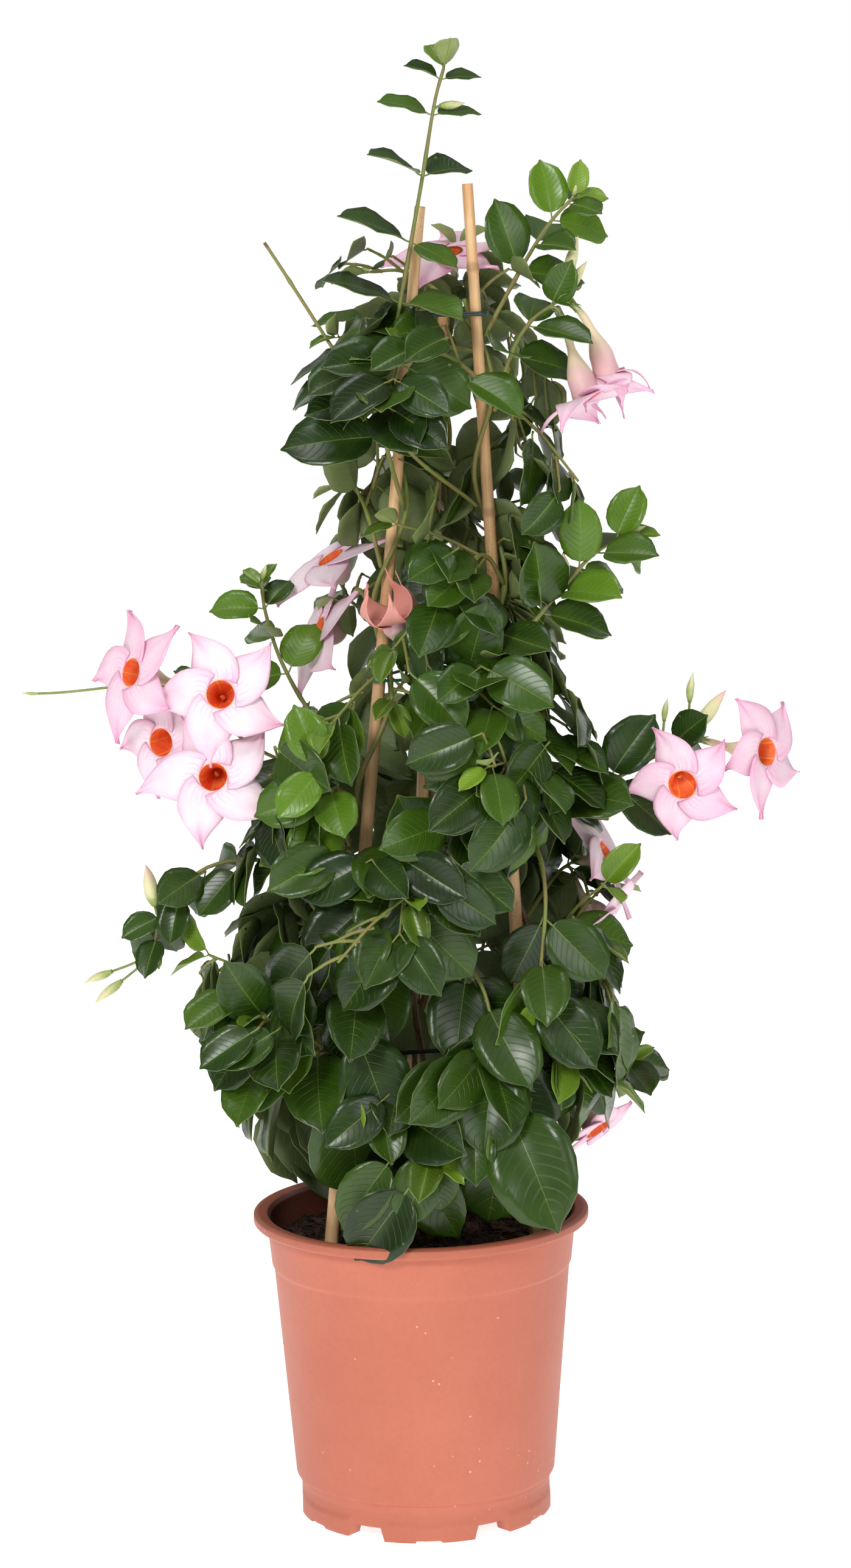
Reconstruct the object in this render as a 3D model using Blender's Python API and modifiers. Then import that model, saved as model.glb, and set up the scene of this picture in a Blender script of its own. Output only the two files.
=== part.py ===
"""A potted mandevilla trained up three bamboo canes, built as separate closed solids.

Metres, +Z up. The origin is on the ground under the middle of the pot, and -Y is the front.
"""

import math
import random

import bmesh
import bpy
from mathutils import Vector
from mathutils.bvhtree import BVHTree

CLEAR = 0.0003  # left between two solids that touch
UP = Vector((0, 0, 1))
GOLDEN_ANGLE = math.radians(137.5)

# Pot: a tall nursery container with a rolled lip, a stepped band and six feet
RIM_RADIUS = 0.120
POT_HEIGHT = 0.220
LIP_DEPTH = 0.008
LIP_ROUND = 0.0015
BAND_RADIUS = 0.1098
BAND_FOOT_RADIUS = 0.1074
BAND_DEPTH = 0.038
BODY_RADIUS = 0.1060
HEEL_RADIUS = 0.0932
HEEL_HEIGHT = 0.028
BASE_RADIUS = 0.0905
FLOOR_UNDER = 0.0100
FLOOR_TOP = 0.0120
WALL = 0.0020
FOOT_COUNT = 6
FOOT_DEPTH = 0.013
FOOT_GAP = 0.023
FOOT_HEIGHT = 0.0094
FOOT_TURN = math.radians(-88.5)
NOTCH_WIDTH = 0.019
NOTCH_HEIGHT = 0.0015
DRAIN_RADIUS = 0.005
DRAIN_CIRCLE = 0.058
POT_STEPS = 30

# Compost, and the holes in it that the canes and the vines stand in
SOIL_EDGE = 0.199
SOIL_MIDDLE = 0.205
SOIL_SHOULDER = 0.55  # of its radius, where its top starts to fall
CANE_HOLE = 0.050
VINE_HOLE = 0.008
HOLE_SIDES = 7

# Canes: the point where each leaves the compost, and its top
CANE_RADIUS = 0.0050
CANE_TOP_RADIUS = 0.0038
CANE_SWELL = 0.0007
CANE_SIDES = 8
CANE_KNOT_SPACING = 0.17
CANE_KNOT_LENGTH = 0.006
CANES = {
    "cane_left": {"foot": (-0.064, -0.052, 0.203), "top": (0.012, 0.000, 0.930), "first_knot": 0.12},
    "cane_right": {"foot": (0.082, -0.018, 0.203), "top": (0.045, -0.002, 0.945), "first_knot": 0.05},
    "cane_back": {"foot": (-0.012, 0.080, 0.203), "top": (0.028, 0.027, 0.870), "first_knot": 0.16},
}

# Ties round all three canes, and a hook on the left one
TIES = {
    "hoop_low": {"height": 0.342, "radius": 0.0016, "colour": (0.02, 0.03, 0.03)},
    "hoop_middle": {"height": 0.474, "radius": 0.0016, "colour": (0.02, 0.03, 0.03)},
    "wire_ring": {"height": 0.604, "radius": 0.0011, "colour": (0.02, 0.30, 0.16)},
    "tie_top": {"height": 0.856, "radius": 0.0016, "colour": (0.03, 0.06, 0.06)},
}
TIE_GAP = 0.0008
TIE_CORNER_POINTS = 3
HOOK_HEIGHT = 0.286
HOOK_RADIUS = 0.0012
HOOK_REACH = 0.011
HOOK_TURN = (math.radians(150), math.radians(-130))
HOOK_TURN_STEPS = 8
HOOK_TAIL_STEPS = 4
HOOK_TAIL_RISE = 0.004
HOOK_TAIL_SPREAD = 0.001  # by which the tail stands forward at each step

# Vines: each twines up its cane, on the inner side of it wherever a tie goes round
TWINE_START = 0.343
TWINE_PITCH = 0.131
VINE_RADIUS = 0.0026
VINE_TOP_RADIUS = 0.0015
VINE_STEP = 0.020
VINE_BASE_HEIGHT = 0.200
VINE_SLACK = 0.0018
VINES = {
    "vine_left": {"cane": "cane_left", "base": (-0.018, -0.012), "top": 0.800},
    "vine_right": {"cane": "cane_right", "base": (0.024, -0.008), "top": 0.866},
    "vine_back": {"cane": "cane_back", "base": (0.002, 0.022), "top": 0.800},
    "vine_middle": {"cane": None, "base": (0.006, -0.026), "top": 0.740},
}
MIDDLE_VINE_SWAY = 0.008
MIDDLE_VINE_SHIFT = (-0.004, -0.002)
CUT_VINE = {
    "vine": "vine_right", "root": 0.722, "radius": 0.0013,
    "through": ((-0.012, -0.034, 0.779), (-0.096, 0.0, 0.907)),
}

# Twigs and leaves
TWIG_RADIUS = 0.0024
TWIG_TIP_RADIUS = 0.0018
SHOOT_RADIUS = 0.0011
SHOOT_TIP_RADIUS = 0.0010
TWIG_SIDES = 3
STEM_POINTS = 4
SPRAY_POINTS = 2
SPRAY_LAST_PAIR = 0.94
INTO_STEM = 0.02  # of its length, by which a bud or flower starts back from its place
LEAF_WIDTH = 0.68
LEAF_THICKNESS = 0.020
LEAF_OUTLINE = ((0.0, 0.0), (0.44, 0.50), (1.0, 0.0), (0.44, -0.50))
LEAF_ROOM = ((0.0, 0.0), (0.30, 0.50), (0.66, 0.44), (1.0, 0.0), (0.66, -0.44), (0.30, -0.50))
LEAF_RIDGE = 0.48
LEAF_FOLD = 0.22
LEAF_ARCH = 0.16
LEAF_SPREAD = 0.45
LEAF_OUTWARD = 0.40
LEAF_NECK = 0.24
LEAF_ATTEMPTS = 8
LEAF_TURN_STEP = 0.34
LEAF_SHRINK_STEP = 0.045
LEAF_DROOP_STEP = 0.07
LEAF_TURN_RANGE = 0.25
LEAF_SIZE_RANGE = (0.88, 1.10)
LEAF_TILT_RANGE = 0.12
STEM_ATTEMPTS = 14
TWIG_FREE = 0.25  # of a twig's first stretch, tested with less room because it stands on its vine
TOUCH = 0.0001
ROOT_MARGIN = 0.15  # of a twig's radius
SWELL = 0.0005  # by which a leaf or twig is thickened while it is tested against its neighbours
BUD_WIDEST = 0.55
BUD_SIDES = 4
WELD = 0.000001

# What stays in sight from the front: stretches of cane, and the leaves of the front sprays
VIEWER = Vector((0.009, -2.83, 0.95))
CANES_IN_SIGHT = {
    "cane_left": ((0.215, 0.285), (0.510, 0.765)),
    "cane_right": ((0.680, 0.750), (0.825, 0.940)),
}
CANE_ROOM = 0.007
SPRAYS_IN_SIGHT = ("leader", "shoot_top", "leaves_peak", "leaves_upper", "leaves_mid", "leaves_centre",
                   "leaves_left", "leaves_low", "leaves_front", "shoot_front")
SEEN_BLADE = (0.30, 0.90)  # the stretch of a blade that stays in sight
SEEN_BLADE_ROOM = 0.34  # of the blade's width
BLADE_SPOTS = tuple((along, side) for along in (0.2, 0.4, 0.6, 0.8, 1.0)
                    for side in ((-0.8, 0.0, 0.8) if along < 0.9 else (0.0,)))
KEPT_IN_SIGHT = []

# The crown's outline: height, middle in X and radius
CROWN_FORWARD = 0.005  # by which its middle stands in front of the pot's
CROWN = (
    (0.200, 0.004, 0.130),
    (0.255, 0.004, 0.132),
    (0.300, 0.000, 0.152),
    (0.360, 0.001, 0.164),
    (0.420, 0.005, 0.158),
    (0.480, 0.003, 0.144),
    (0.530, 0.018, 0.138),
    (0.590, 0.011, 0.114),
    (0.640, 0.015, 0.104),
    (0.720, 0.022, 0.102),
    (0.830, 0.012, 0.100),
    (0.885, 0.018, 0.086),
    (0.935, 0.032, 0.056),
)

# Foliage all round the canes: masses in a rising spiral, whose leaves change from foot to top
MASS_COUNT = 24
MASS_LOWEST = 0.285
MASS_HIGHEST = 0.885
MASS_CROWDING = 1.15  # above 1, the lower masses stand closer together
MASS_FIRST_AZIMUTH = math.radians(255)
LOW_FOLIAGE = {"leaf": 0.082, "droop": 1.00, "face_up": 0.15, "reach": 0.76}
HIGH_FOLIAGE = {"leaf": 0.056, "droop": 0.35, "face_up": 0.50, "reach": 0.62}
SHOOT_COUNT = 3
SHOOT_LENGTH = 0.066
SHOOT_SHARES = (0.45, 0.95)
SHOOT_RISE_RANGE = (0.35, 0.85)
SHOOT_LEAN_RANGE = (0.3, 0.8)
SHOOT_LENGTH_RANGE = (0.75, 1.15)
PAIR_SIZES = (0.85, 0.95, 1.0)
SHOOT_PAIRS = (0.92, 0.64, 0.36)
STEM_PAIRS = (0.94, 0.60)
STEM_ARCH = 0.018
MASS_ROOT_LIMIT = 0.862
AZIMUTH_STEP = math.radians(9)
ROOT_STEP = 0.011

# Sprays that stand out of the crown, each from a vine through the points given to its tip
SPRAYS = {
    "leader": {
        "vine": "vine_left", "root": None, "leaf": 0.062, "tip_leaf": 0.030, "pairs": 5, "first": 0.27,
        "turn": 90, "step": 0.0, "droop": 0.10, "look": (0.0, -0.42, 0.91),
        "through": ((-0.004, -0.024, 0.860), (0.009, -0.014, 0.921), (0.021, -0.004, 0.990),
                    (0.030, 0.0, 1.024)),
        "buds": ({"at": 1.0, "tip": (0.033, 0.0, 1.041), "radius": 0.0035},
                 {"at": 0.80, "tip": (0.044, 0.002, 1.000), "radius": 0.0030}),
        "flowers": (),
    },
    "flowers_low": {
        "vine": "vine_right", "root": 0.430, "leaf": 0.060, "tip_leaf": 0.050, "pairs": 2, "first": 0.35,
        "turn": 40, "droop": 0.50, "look": (0.5, -0.5, 0.7),
        "through": ((0.100, 0.046, 0.450), (0.112, 0.056, 0.458)),
        "buds": (),
        "flowers": (
            {"at": 1.00, "throat": (0.138, 0.036, 0.468), "facing": (0.86, -0.22, 0.46), "radius": 0.040},
            {"at": 0.80, "throat": (0.136, 0.034, 0.418), "facing": (0.76, -0.22, -0.60), "radius": 0.042},
        ),
    },
    "flowers_left": {
        "vine": "vine_left", "root": 0.545, "leaf": 0.050, "tip_leaf": 0.040, "pairs": 2, "first": 0.35,
        "turn": 20, "droop": 0.30, "look": (-0.2, -0.6, 0.75),
        "through": ((-0.095, -0.004, 0.545), (-0.150, 0.010, 0.588)),
        "buds": ({"at": 1.0, "tip": (-0.274, 0.0, 0.596), "radius": 0.0012},),
        "flowers": (
            {"at": 1.00, "throat": (-0.195, -0.030, 0.613), "facing": (-0.75, -0.60, 0.25), "radius": 0.044},
            {"at": 0.90, "throat": (-0.132, -0.050, 0.599), "facing": (-0.15, -0.95, 0.20), "radius": 0.048},
            {"at": 0.84, "throat": (-0.138, -0.060, 0.543), "facing": (-0.10, -0.92, 0.38), "radius": 0.050},
            {"at": 0.96, "throat": (-0.176, -0.020, 0.562), "facing": (-0.55, -0.80, 0.05), "radius": 0.040},
        ),
    },
    "shoot_left": {
        "vine": "vine_left", "root": 0.560, "leaf": 0.046, "tip_leaf": 0.030, "pairs": 4, "first": 0.45,
        "turn": 60, "droop": 0.10, "look": (-0.1, -0.75, 0.65),
        "through": ((-0.078, 0.010, 0.585), (-0.100, 0.018, 0.640), (-0.104, 0.020, 0.668)),
        "buds": ({"at": 1.0, "tip": (-0.101, 0.020, 0.682), "radius": 0.0022},),
        "flowers": (),
    },
    "buds_left": {
        "vine": "vine_left", "root": 0.415, "leaf": 0.046, "tip_leaf": 0.034, "pairs": 5, "first": 0.40,
        "turn": 35, "droop": 0.45, "look": (-0.2, -0.85, 0.45),
        "through": ((-0.110, 0.004, 0.478), (-0.172, 0.010, 0.448), (-0.186, 0.014, 0.412)),
        "buds": ({"at": 1.0, "tip": (-0.238, 0.016, 0.384), "radius": 0.0030},
                 {"at": 1.0, "tip": (-0.230, 0.008, 0.371), "radius": 0.0034},
                 {"at": 0.80, "tip": (-0.190, -0.010, 0.474), "radius": 0.0050}),
        "flowers": (),
    },
    "flowers_right": {
        "vine": "vine_right", "root": 0.520, "leaf": 0.070, "tip_leaf": 0.052, "pairs": 3, "first": 0.25,
        "turn": 10, "droop": 0.20, "look": (0.1, -0.8, 0.6),
        "through": ((0.125, -0.012, 0.522), (0.190, -0.008, 0.556)),
        "buds": ({"at": 0.98, "tip": (0.198, -0.006, 0.603), "radius": 0.0028},
                 {"at": 0.85, "tip": (0.180, -0.004, 0.585), "radius": 0.0022},
                 {"at": 1.0, "tip": (0.221, -0.006, 0.590), "radius": 0.0050}),
        "flowers": (
            {"at": 0.85, "throat": (0.188, -0.030, 0.527), "facing": (-0.25, -0.90, -0.05), "radius": 0.039},
            {"at": 1.00, "throat": (0.250, 0.0, 0.545), "facing": (0.72, -0.66, 0.10), "radius": 0.042},
        ),
    },
    "shoot_right": {
        "vine": "vine_right", "root": 0.600, "leaf": 0.056, "tip_leaf": 0.040, "pairs": 5, "first": 0.40,
        "turn": 75, "droop": 0.10, "look": (0.1, -0.7, 0.7),
        "through": ((0.084, -0.030, 0.640), (0.118, -0.022, 0.680), (0.150, -0.004, 0.700)),
        "buds": ({"at": 0.55, "tip": (0.107, -0.034, 0.691), "radius": 0.0048},
                 {"at": 1.0, "tip": (0.166, 0.0, 0.706), "radius": 0.0024}),
        "flowers": (),
    },
    "flowers_top": {
        "vine": "vine_right", "root": 0.800, "leaf": 0.052, "tip_leaf": 0.040, "pairs": 3, "first": 0.30,
        "turn": 70, "droop": 0.30, "look": (0.3, -0.6, 0.7),
        "through": ((0.080, -0.012, 0.842), (0.104, -0.006, 0.862)),
        "buds": ({"at": 1.0, "tip": (0.121, -0.004, 0.908), "radius": 0.0042},
                 {"at": 1.0, "tip": (0.127, 0.004, 0.890), "radius": 0.0038}),
        "flowers": (
            {"at": 0.90, "throat": (0.126, -0.012, 0.797), "facing": (0.36, -0.20, -0.90), "radius": 0.041},
            {"at": 1.00, "throat": (0.140, 0.004, 0.812), "facing": (0.24, 0.10, -0.96), "radius": 0.022},
        ),
    },
    "shoot_top": {
        "vine": "vine_right", "root": 0.840, "leaf": 0.052, "tip_leaf": 0.034, "pairs": 4, "first": 0.40,
        "turn": 75, "droop": 0.10, "look": (0.1, -0.75, 0.65),
        "through": ((0.076, 0.012, 0.876), (0.098, 0.012, 0.912), (0.118, 0.010, 0.934)),
        "buds": ({"at": 1.0, "tip": (0.121, 0.010, 0.944), "radius": 0.0022},),
        "flowers": (),
    },
    "flower_peak": {
        "vine": "vine_back", "root": None, "leaf": 0.056, "tip_leaf": 0.050, "pairs": 4, "first": 0.25,
        "turn": 15, "droop": 0.25, "look": (0.0, 0.6, 0.8),
        "through": ((0.032, 0.050, 0.840), (0.036, 0.060, 0.870), (0.038, 0.058, 0.900)),
        "buds": (),
        "flowers": (
            {"at": 0.75, "throat": (0.032, 0.044, 0.898), "facing": (-0.15, -0.35, 0.92), "radius": 0.044},
        ),
    },
    "flowers_behind": {
        "vine": "vine_back", "root": 0.620, "leaf": 0.054, "tip_leaf": 0.046, "pairs": 2, "first": 0.30,
        "turn": 30, "droop": 0.35, "look": (-0.4, 0.4, 0.8),
        "through": ((-0.030, 0.076, 0.640), (-0.050, 0.090, 0.660)),
        "buds": ({"at": 0.9, "tip": (-0.040, 0.060, 0.735), "radius": 0.0036},),
        "flowers": (
            {"at": 1.00, "throat": (-0.056, 0.044, 0.684), "facing": (-0.50, -0.20, 0.84), "radius": 0.041},
            {"at": 0.90, "throat": (-0.066, 0.046, 0.632), "facing": (-0.88, -0.25, 0.38), "radius": 0.042},
        ),
    },
    "leaves_front": {
        "vine": "vine_middle", "root": 0.385, "leaf": 0.068, "tip_leaf": 0.094, "pairs": 4, "first": 0.35,
        "turn": 0, "droop": 1.70, "look": (0.0, -1.0, 0.1),
        "through": ((0.036, -0.064, 0.411), (0.052, -0.090, 0.368), (0.060, -0.104, 0.309)),
        "buds": (),
        "flowers": (),
    },
    "bloom_spent": {
        "vine": "vine_left", "root": 0.590, "leaf": 0.050, "tip_leaf": 0.050, "pairs": 1, "first": 0.5,
        "turn": 0, "droop": 0.60, "look": (0.0, -0.8, 0.6),
        "through": ((-0.016, -0.040, 0.592), (-0.006, -0.046, 0.604)),
        "buds": (),
        "flowers": (
            {"at": 1.00, "throat": (-0.012, -0.046, 0.648), "facing": (-0.25, -0.20, 0.95), "radius": 0.019},
        ),
    },
    "shoot_front": {
        "vine": "vine_right", "root": 0.480, "leaf": 0.058, "tip_leaf": 0.066, "pairs": 3, "first": 0.60,
        "turn": 20, "droop": 0.80, "look": (0.1, -0.9, 0.3),
        "through": ((0.088, -0.064, 0.486), (0.088, -0.078, 0.430), (0.082, -0.084, 0.384)),
        "buds": (),
        "flowers": (),
    },
    "shoot_low": {
        "vine": "vine_right", "root": 0.345, "leaf": 0.046, "tip_leaf": 0.044, "pairs": 2, "first": 0.55,
        "turn": 85, "droop": 0.25, "look": (0.2, -0.6, 0.75),
        "through": ((0.118, 0.020, 0.318), (0.150, 0.012, 0.322)),
        "buds": (),
        "flowers": (
            {"at": 0.60, "throat": (0.130, 0.050, 0.262), "facing": (0.55, -0.45, -0.70), "radius": 0.030},
        ),
    },
    "leaves_peak": {
        "vine": "vine_left", "root": 0.745, "leaf": 0.066, "tip_leaf": 0.056, "pairs": 4, "first": 0.30,
        "turn": 15, "droop": 0.55, "look": (-0.2, -0.85, 0.5),
        "through": ((-0.016, -0.052, 0.782), (-0.009, -0.060, 0.808), (-0.003, -0.058, 0.829)),
        "buds": (),
        "flowers": (),
    },
    "leaves_upper": {
        "vine": "vine_middle", "root": 0.600, "leaf": 0.064, "tip_leaf": 0.060, "pairs": 3, "first": 0.40,
        "turn": 10, "droop": 0.60, "look": (0.0, -0.9, 0.45),
        "through": ((0.030, -0.050, 0.598), (0.052, -0.066, 0.619)),
        "buds": (),
        "flowers": (),
    },
    "leaves_mid": {
        "vine": "vine_left", "root": 0.480, "leaf": 0.068, "tip_leaf": 0.046, "pairs": 4, "first": 0.28,
        "turn": 20, "droop": 0.70, "look": (-0.1, -0.95, 0.3),
        "through": ((-0.051, -0.062, 0.518), (-0.064, -0.094, 0.555)),
        "buds": (),
        "flowers": (),
    },
    "leaves_centre": {
        "vine": "vine_middle", "root": 0.465, "leaf": 0.066, "tip_leaf": 0.060, "pairs": 3, "first": 0.35,
        "turn": 70, "droop": 0.90, "look": (0.1, -0.95, 0.3),
        "through": ((0.012, -0.066, 0.487), (0.029, -0.088, 0.516)),
        "buds": (),
        "flowers": (),
    },
    "leaves_left": {
        "vine": "vine_left", "root": 0.345, "leaf": 0.070, "tip_leaf": 0.066, "pairs": 4, "first": 0.35,
        "turn": 15, "droop": 0.75, "look": (-0.3, -0.85, 0.45),
        "through": ((-0.067, -0.058, 0.344), (-0.092, -0.076, 0.368), (-0.107, -0.086, 0.379)),
        "buds": (),
        "flowers": (),
    },
    "leaves_low": {
        "vine": "vine_middle", "root": 0.405, "leaf": 0.066, "tip_leaf": 0.090, "pairs": 4, "first": 0.30,
        "turn": 15, "droop": 1.30, "look": (0.1, -0.95, 0.3),
        "through": ((-0.034, -0.060, 0.411), (-0.043, -0.086, 0.380), (-0.048, -0.096, 0.324)),
        "buds": (),
        "flowers": (),
    },
}

# Flowers: a tube that opens into five pointed lobes
FLOWER_LOBES = 5
FLOWER_TURN = math.radians(61)
FLOWER_THROAT = 0.24
FLOWER_NOTCH = 0.45
FLOWER_CURL = 0.14
FLOWER_SKIN = 0.0016
FLOWER_HOLLOW = 0.5  # how deep the tube is open

LEAF_GREEN = ("leaf green", (0.035, 0.110, 0.025), 0.35)
VINE_GREEN = ("vine green", (0.140, 0.170, 0.040), 0.55)
TERRACOTTA = ("terracotta plastic", (0.560, 0.180, 0.100), 0.45)
COMPOST = ("compost", (0.035, 0.022, 0.016), 0.95)
BAMBOO = ("bamboo", (0.560, 0.330, 0.150), 0.50)


def clear_scene():
    for existing in list(bpy.data.objects):
        bpy.data.objects.remove(existing, do_unlink=True)


def new_collection(name):
    collection = bpy.data.collections.new(name)
    bpy.context.scene.collection.children.link(collection)
    return collection


def material(name, colour, roughness):
    found = bpy.data.materials.get(name)
    if found:
        return found
    made = bpy.data.materials.new(name)
    made.use_nodes = True
    shader = made.node_tree.nodes["Principled BSDF"]
    shader.inputs["Base Color"].default_value = (*colour, 1.0)
    shader.inputs["Roughness"].default_value = roughness
    return made


def add_object(name, data, look, collection):
    obj = bpy.data.objects.new(name, data)
    data.materials.append(material(*look))
    collection.objects.link(obj)
    return obj


def add_cutter(name, data, cutters):
    obj = bpy.data.objects.new(name, data)
    obj.hide_render = True
    obj.display_type = "WIRE"
    cutters.objects.link(obj)
    return obj


def mix(first, second, share):
    return first + (second - first) * share


def smooth_step(share):
    share = min(max(share, 0.0), 1.0)
    return share * share * (3.0 - 2.0 * share)


def heading(azimuth):
    return Vector((math.cos(azimuth), math.sin(azimuth), 0.0))


# ---- solids as (points, faces), for the twigs, leaves and flowers that are fused into masses


def solid_tree(solid):
    return BVHTree.FromPolygons(*solid)


def solid_mesh(name, solid):
    """A mesh of a solid, with its faces pointing out."""
    mesh = bpy.data.meshes.new(name)
    mesh.from_pydata(solid[0], [], solid[1])
    work = bmesh.new()
    work.from_mesh(mesh)
    bmesh.ops.recalc_face_normals(work, faces=work.faces)
    work.to_mesh(mesh)
    work.free()
    return mesh


def lofted(points, radii, sides):
    """A limb of few sides through its points, closed by flat ends."""
    rings = []
    across = None
    for index, point in enumerate(points):
        before = points[max(index - 1, 0)]
        after = points[min(index + 1, len(points) - 1)]
        along = (after - before).normalized()
        across = along.orthogonal() if across is None else across - along * across.dot(along)
        across = across.normalized()
        other = along.cross(across)
        for side in range(sides):
            turn = math.tau * side / sides
            rings.append(point + (across * math.cos(turn) + other * math.sin(turn)) * radii[index])
    faces = []
    for ring in range(len(points) - 1):
        for side in range(sides):
            here = ring * sides + side
            beside = ring * sides + (side + 1) % sides
            faces.append((here, beside, beside + sides))
            faces.append((here, beside + sides, here + sides))
    last = (len(points) - 1) * sides
    faces.append(tuple(reversed(range(sides))))
    faces.append(tuple(range(last, last + sides)))
    return rings, faces


def twig(points, radius, tip_radius, swell=0.0):
    steps = len(points) - 1
    radii = [mix(radius, tip_radius, index / steps) + swell for index in range(steps + 1)]
    return lofted(points, radii, TWIG_SIDES)


def leaf(root, axis, normal, length, shape=LEAF_OUTLINE, swell=0.0, neck=0.0):
    """A thin blade: a few points round it, one above and one below, folded up and arched down."""
    across = axis.cross(normal)
    width = length * LEAF_WIDTH + 2.0 * swell
    outline = []
    for share, side in shape:
        share = max(share, neck)
        lift = LEAF_FOLD * abs(side) * width - LEAF_ARCH * share * share * length
        outline.append(root + axis * share * length + across * side * width + normal * lift)
    ridge_lift = -LEAF_ARCH * LEAF_RIDGE * LEAF_RIDGE * length
    half = 0.5 * length * LEAF_THICKNESS + swell
    ridge = root + axis * LEAF_RIDGE * length + normal * ridge_lift
    points = outline + [ridge + normal * half, ridge - normal * half]
    faces = []
    count = len(shape)
    for index in range(count):
        after = (index + 1) % count
        faces.append((index, after, count))
        faces.append((after, index, count + 1))
    return points, faces


def bud(root, tip, radius, swell=0.0):
    """A pointed bud: a ring between two points."""
    along = (tip - root).normalized()
    across = along.orthogonal().normalized()
    other = along.cross(across)
    middle = root.lerp(tip, BUD_WIDEST)
    ring = []
    for side in range(BUD_SIDES):
        turn = math.tau * side / BUD_SIDES
        ring.append(middle + (across * math.cos(turn) + other * math.sin(turn)) * (radius + swell))
    faces = []
    for side in range(BUD_SIDES):
        after = (side + 1) % BUD_SIDES
        faces.append((side, after, BUD_SIDES + 1))
        faces.append((after, side, BUD_SIDES))
    return ring + [root, tip], faces


def flower(root, bloom, swell=0.0):
    """A funnel with a skin: from its root out to the mouth, a star of lobes, and back inside."""
    facing = Vector(bloom["facing"]).normalized()
    throat = Vector(bloom["throat"])
    radius = bloom["radius"]
    across = facing.cross(UP).normalized()
    other = across.cross(facing)
    count = 2 * FLOWER_LOBES

    def ring(distance, inner, outer, outer_distance):
        points = []
        for index in range(count):
            turn = math.tau * index / count + FLOWER_TURN
            is_lobe = index % 2 == 0
            reach = outer if is_lobe else inner
            depth = outer_distance if is_lobe else distance
            away = across * math.cos(turn) + other * math.sin(turn)
            points.append(throat + facing * depth + away * reach)
        return points

    mouth = radius * FLOWER_THROAT
    points = [root]
    points += ring(-FLOWER_SKIN - swell, mouth + swell, mouth + swell, -FLOWER_SKIN - swell)
    points += ring(0.0, radius * FLOWER_NOTCH + swell, radius + swell, -radius * FLOWER_CURL)
    points += ring(swell, mouth - FLOWER_SKIN, mouth - FLOWER_SKIN, swell)
    points.append(throat.lerp(root, FLOWER_HOLLOW))
    last = len(points) - 1
    faces = []
    for index in range(count):
        after = (index + 1) % count
        faces.append((0, 1 + after, 1 + index))
        # Both sides of a lobe are split along the same line, so that they do not cross
        back, edge, front = 1, 1 + count, 1 + 2 * count
        faces.append((back + index, back + after, edge + after))
        faces.append((back + index, edge + after, edge + index))
        faces.append((edge + index, edge + after, front + index))
        faces.append((edge + after, front + after, front + index))
        faces.append((1 + 2 * count + index, 1 + 2 * count + after, last))
    return points, faces


# ---- pot and compost


def turned(name, profile, look, collection):
    """A solid of revolution. The profile of (radius, height) runs down its outer side."""
    mesh = bpy.data.meshes.new(name)
    edges = [(index, index + 1) for index in range(len(profile) - 1)]
    mesh.from_pydata([(radius, 0.0, height) for radius, height in profile], edges, [])
    obj = add_object(name, mesh, look, collection)
    screw = obj.modifiers.new("turn", "SCREW")
    screw.steps = POT_STEPS
    screw.render_steps = POT_STEPS
    screw.use_merge_vertices = True
    screw.merge_threshold = 0.00001
    return obj


def box_mesh(name, size, centre):
    """A box, used as a cutter."""
    mesh = bpy.data.meshes.new(name)
    work = bmesh.new()
    bmesh.ops.create_cube(work, size=1.0)
    bmesh.ops.scale(work, vec=size, verts=work.verts)
    bmesh.ops.translate(work, vec=centre, verts=work.verts)
    work.to_mesh(mesh)
    work.free()
    return mesh


def rod_mesh(name, radius, length):
    """A cylinder along +Z from its foot, used as a cutter."""
    mesh = bpy.data.meshes.new(name)
    work = bmesh.new()
    bmesh.ops.create_cone(work, cap_ends=True, segments=HOLE_SIDES, radius1=radius, radius2=radius,
                          depth=length)
    bmesh.ops.translate(work, vec=(0, 0, length / 2), verts=work.verts)
    work.to_mesh(mesh)
    work.free()
    return mesh


def cut(obj, cutters):
    boolean = obj.modifiers.new("cut", "BOOLEAN")
    boolean.operation = "DIFFERENCE"
    boolean.operand_type = "COLLECTION"
    boolean.collection = cutters


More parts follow.
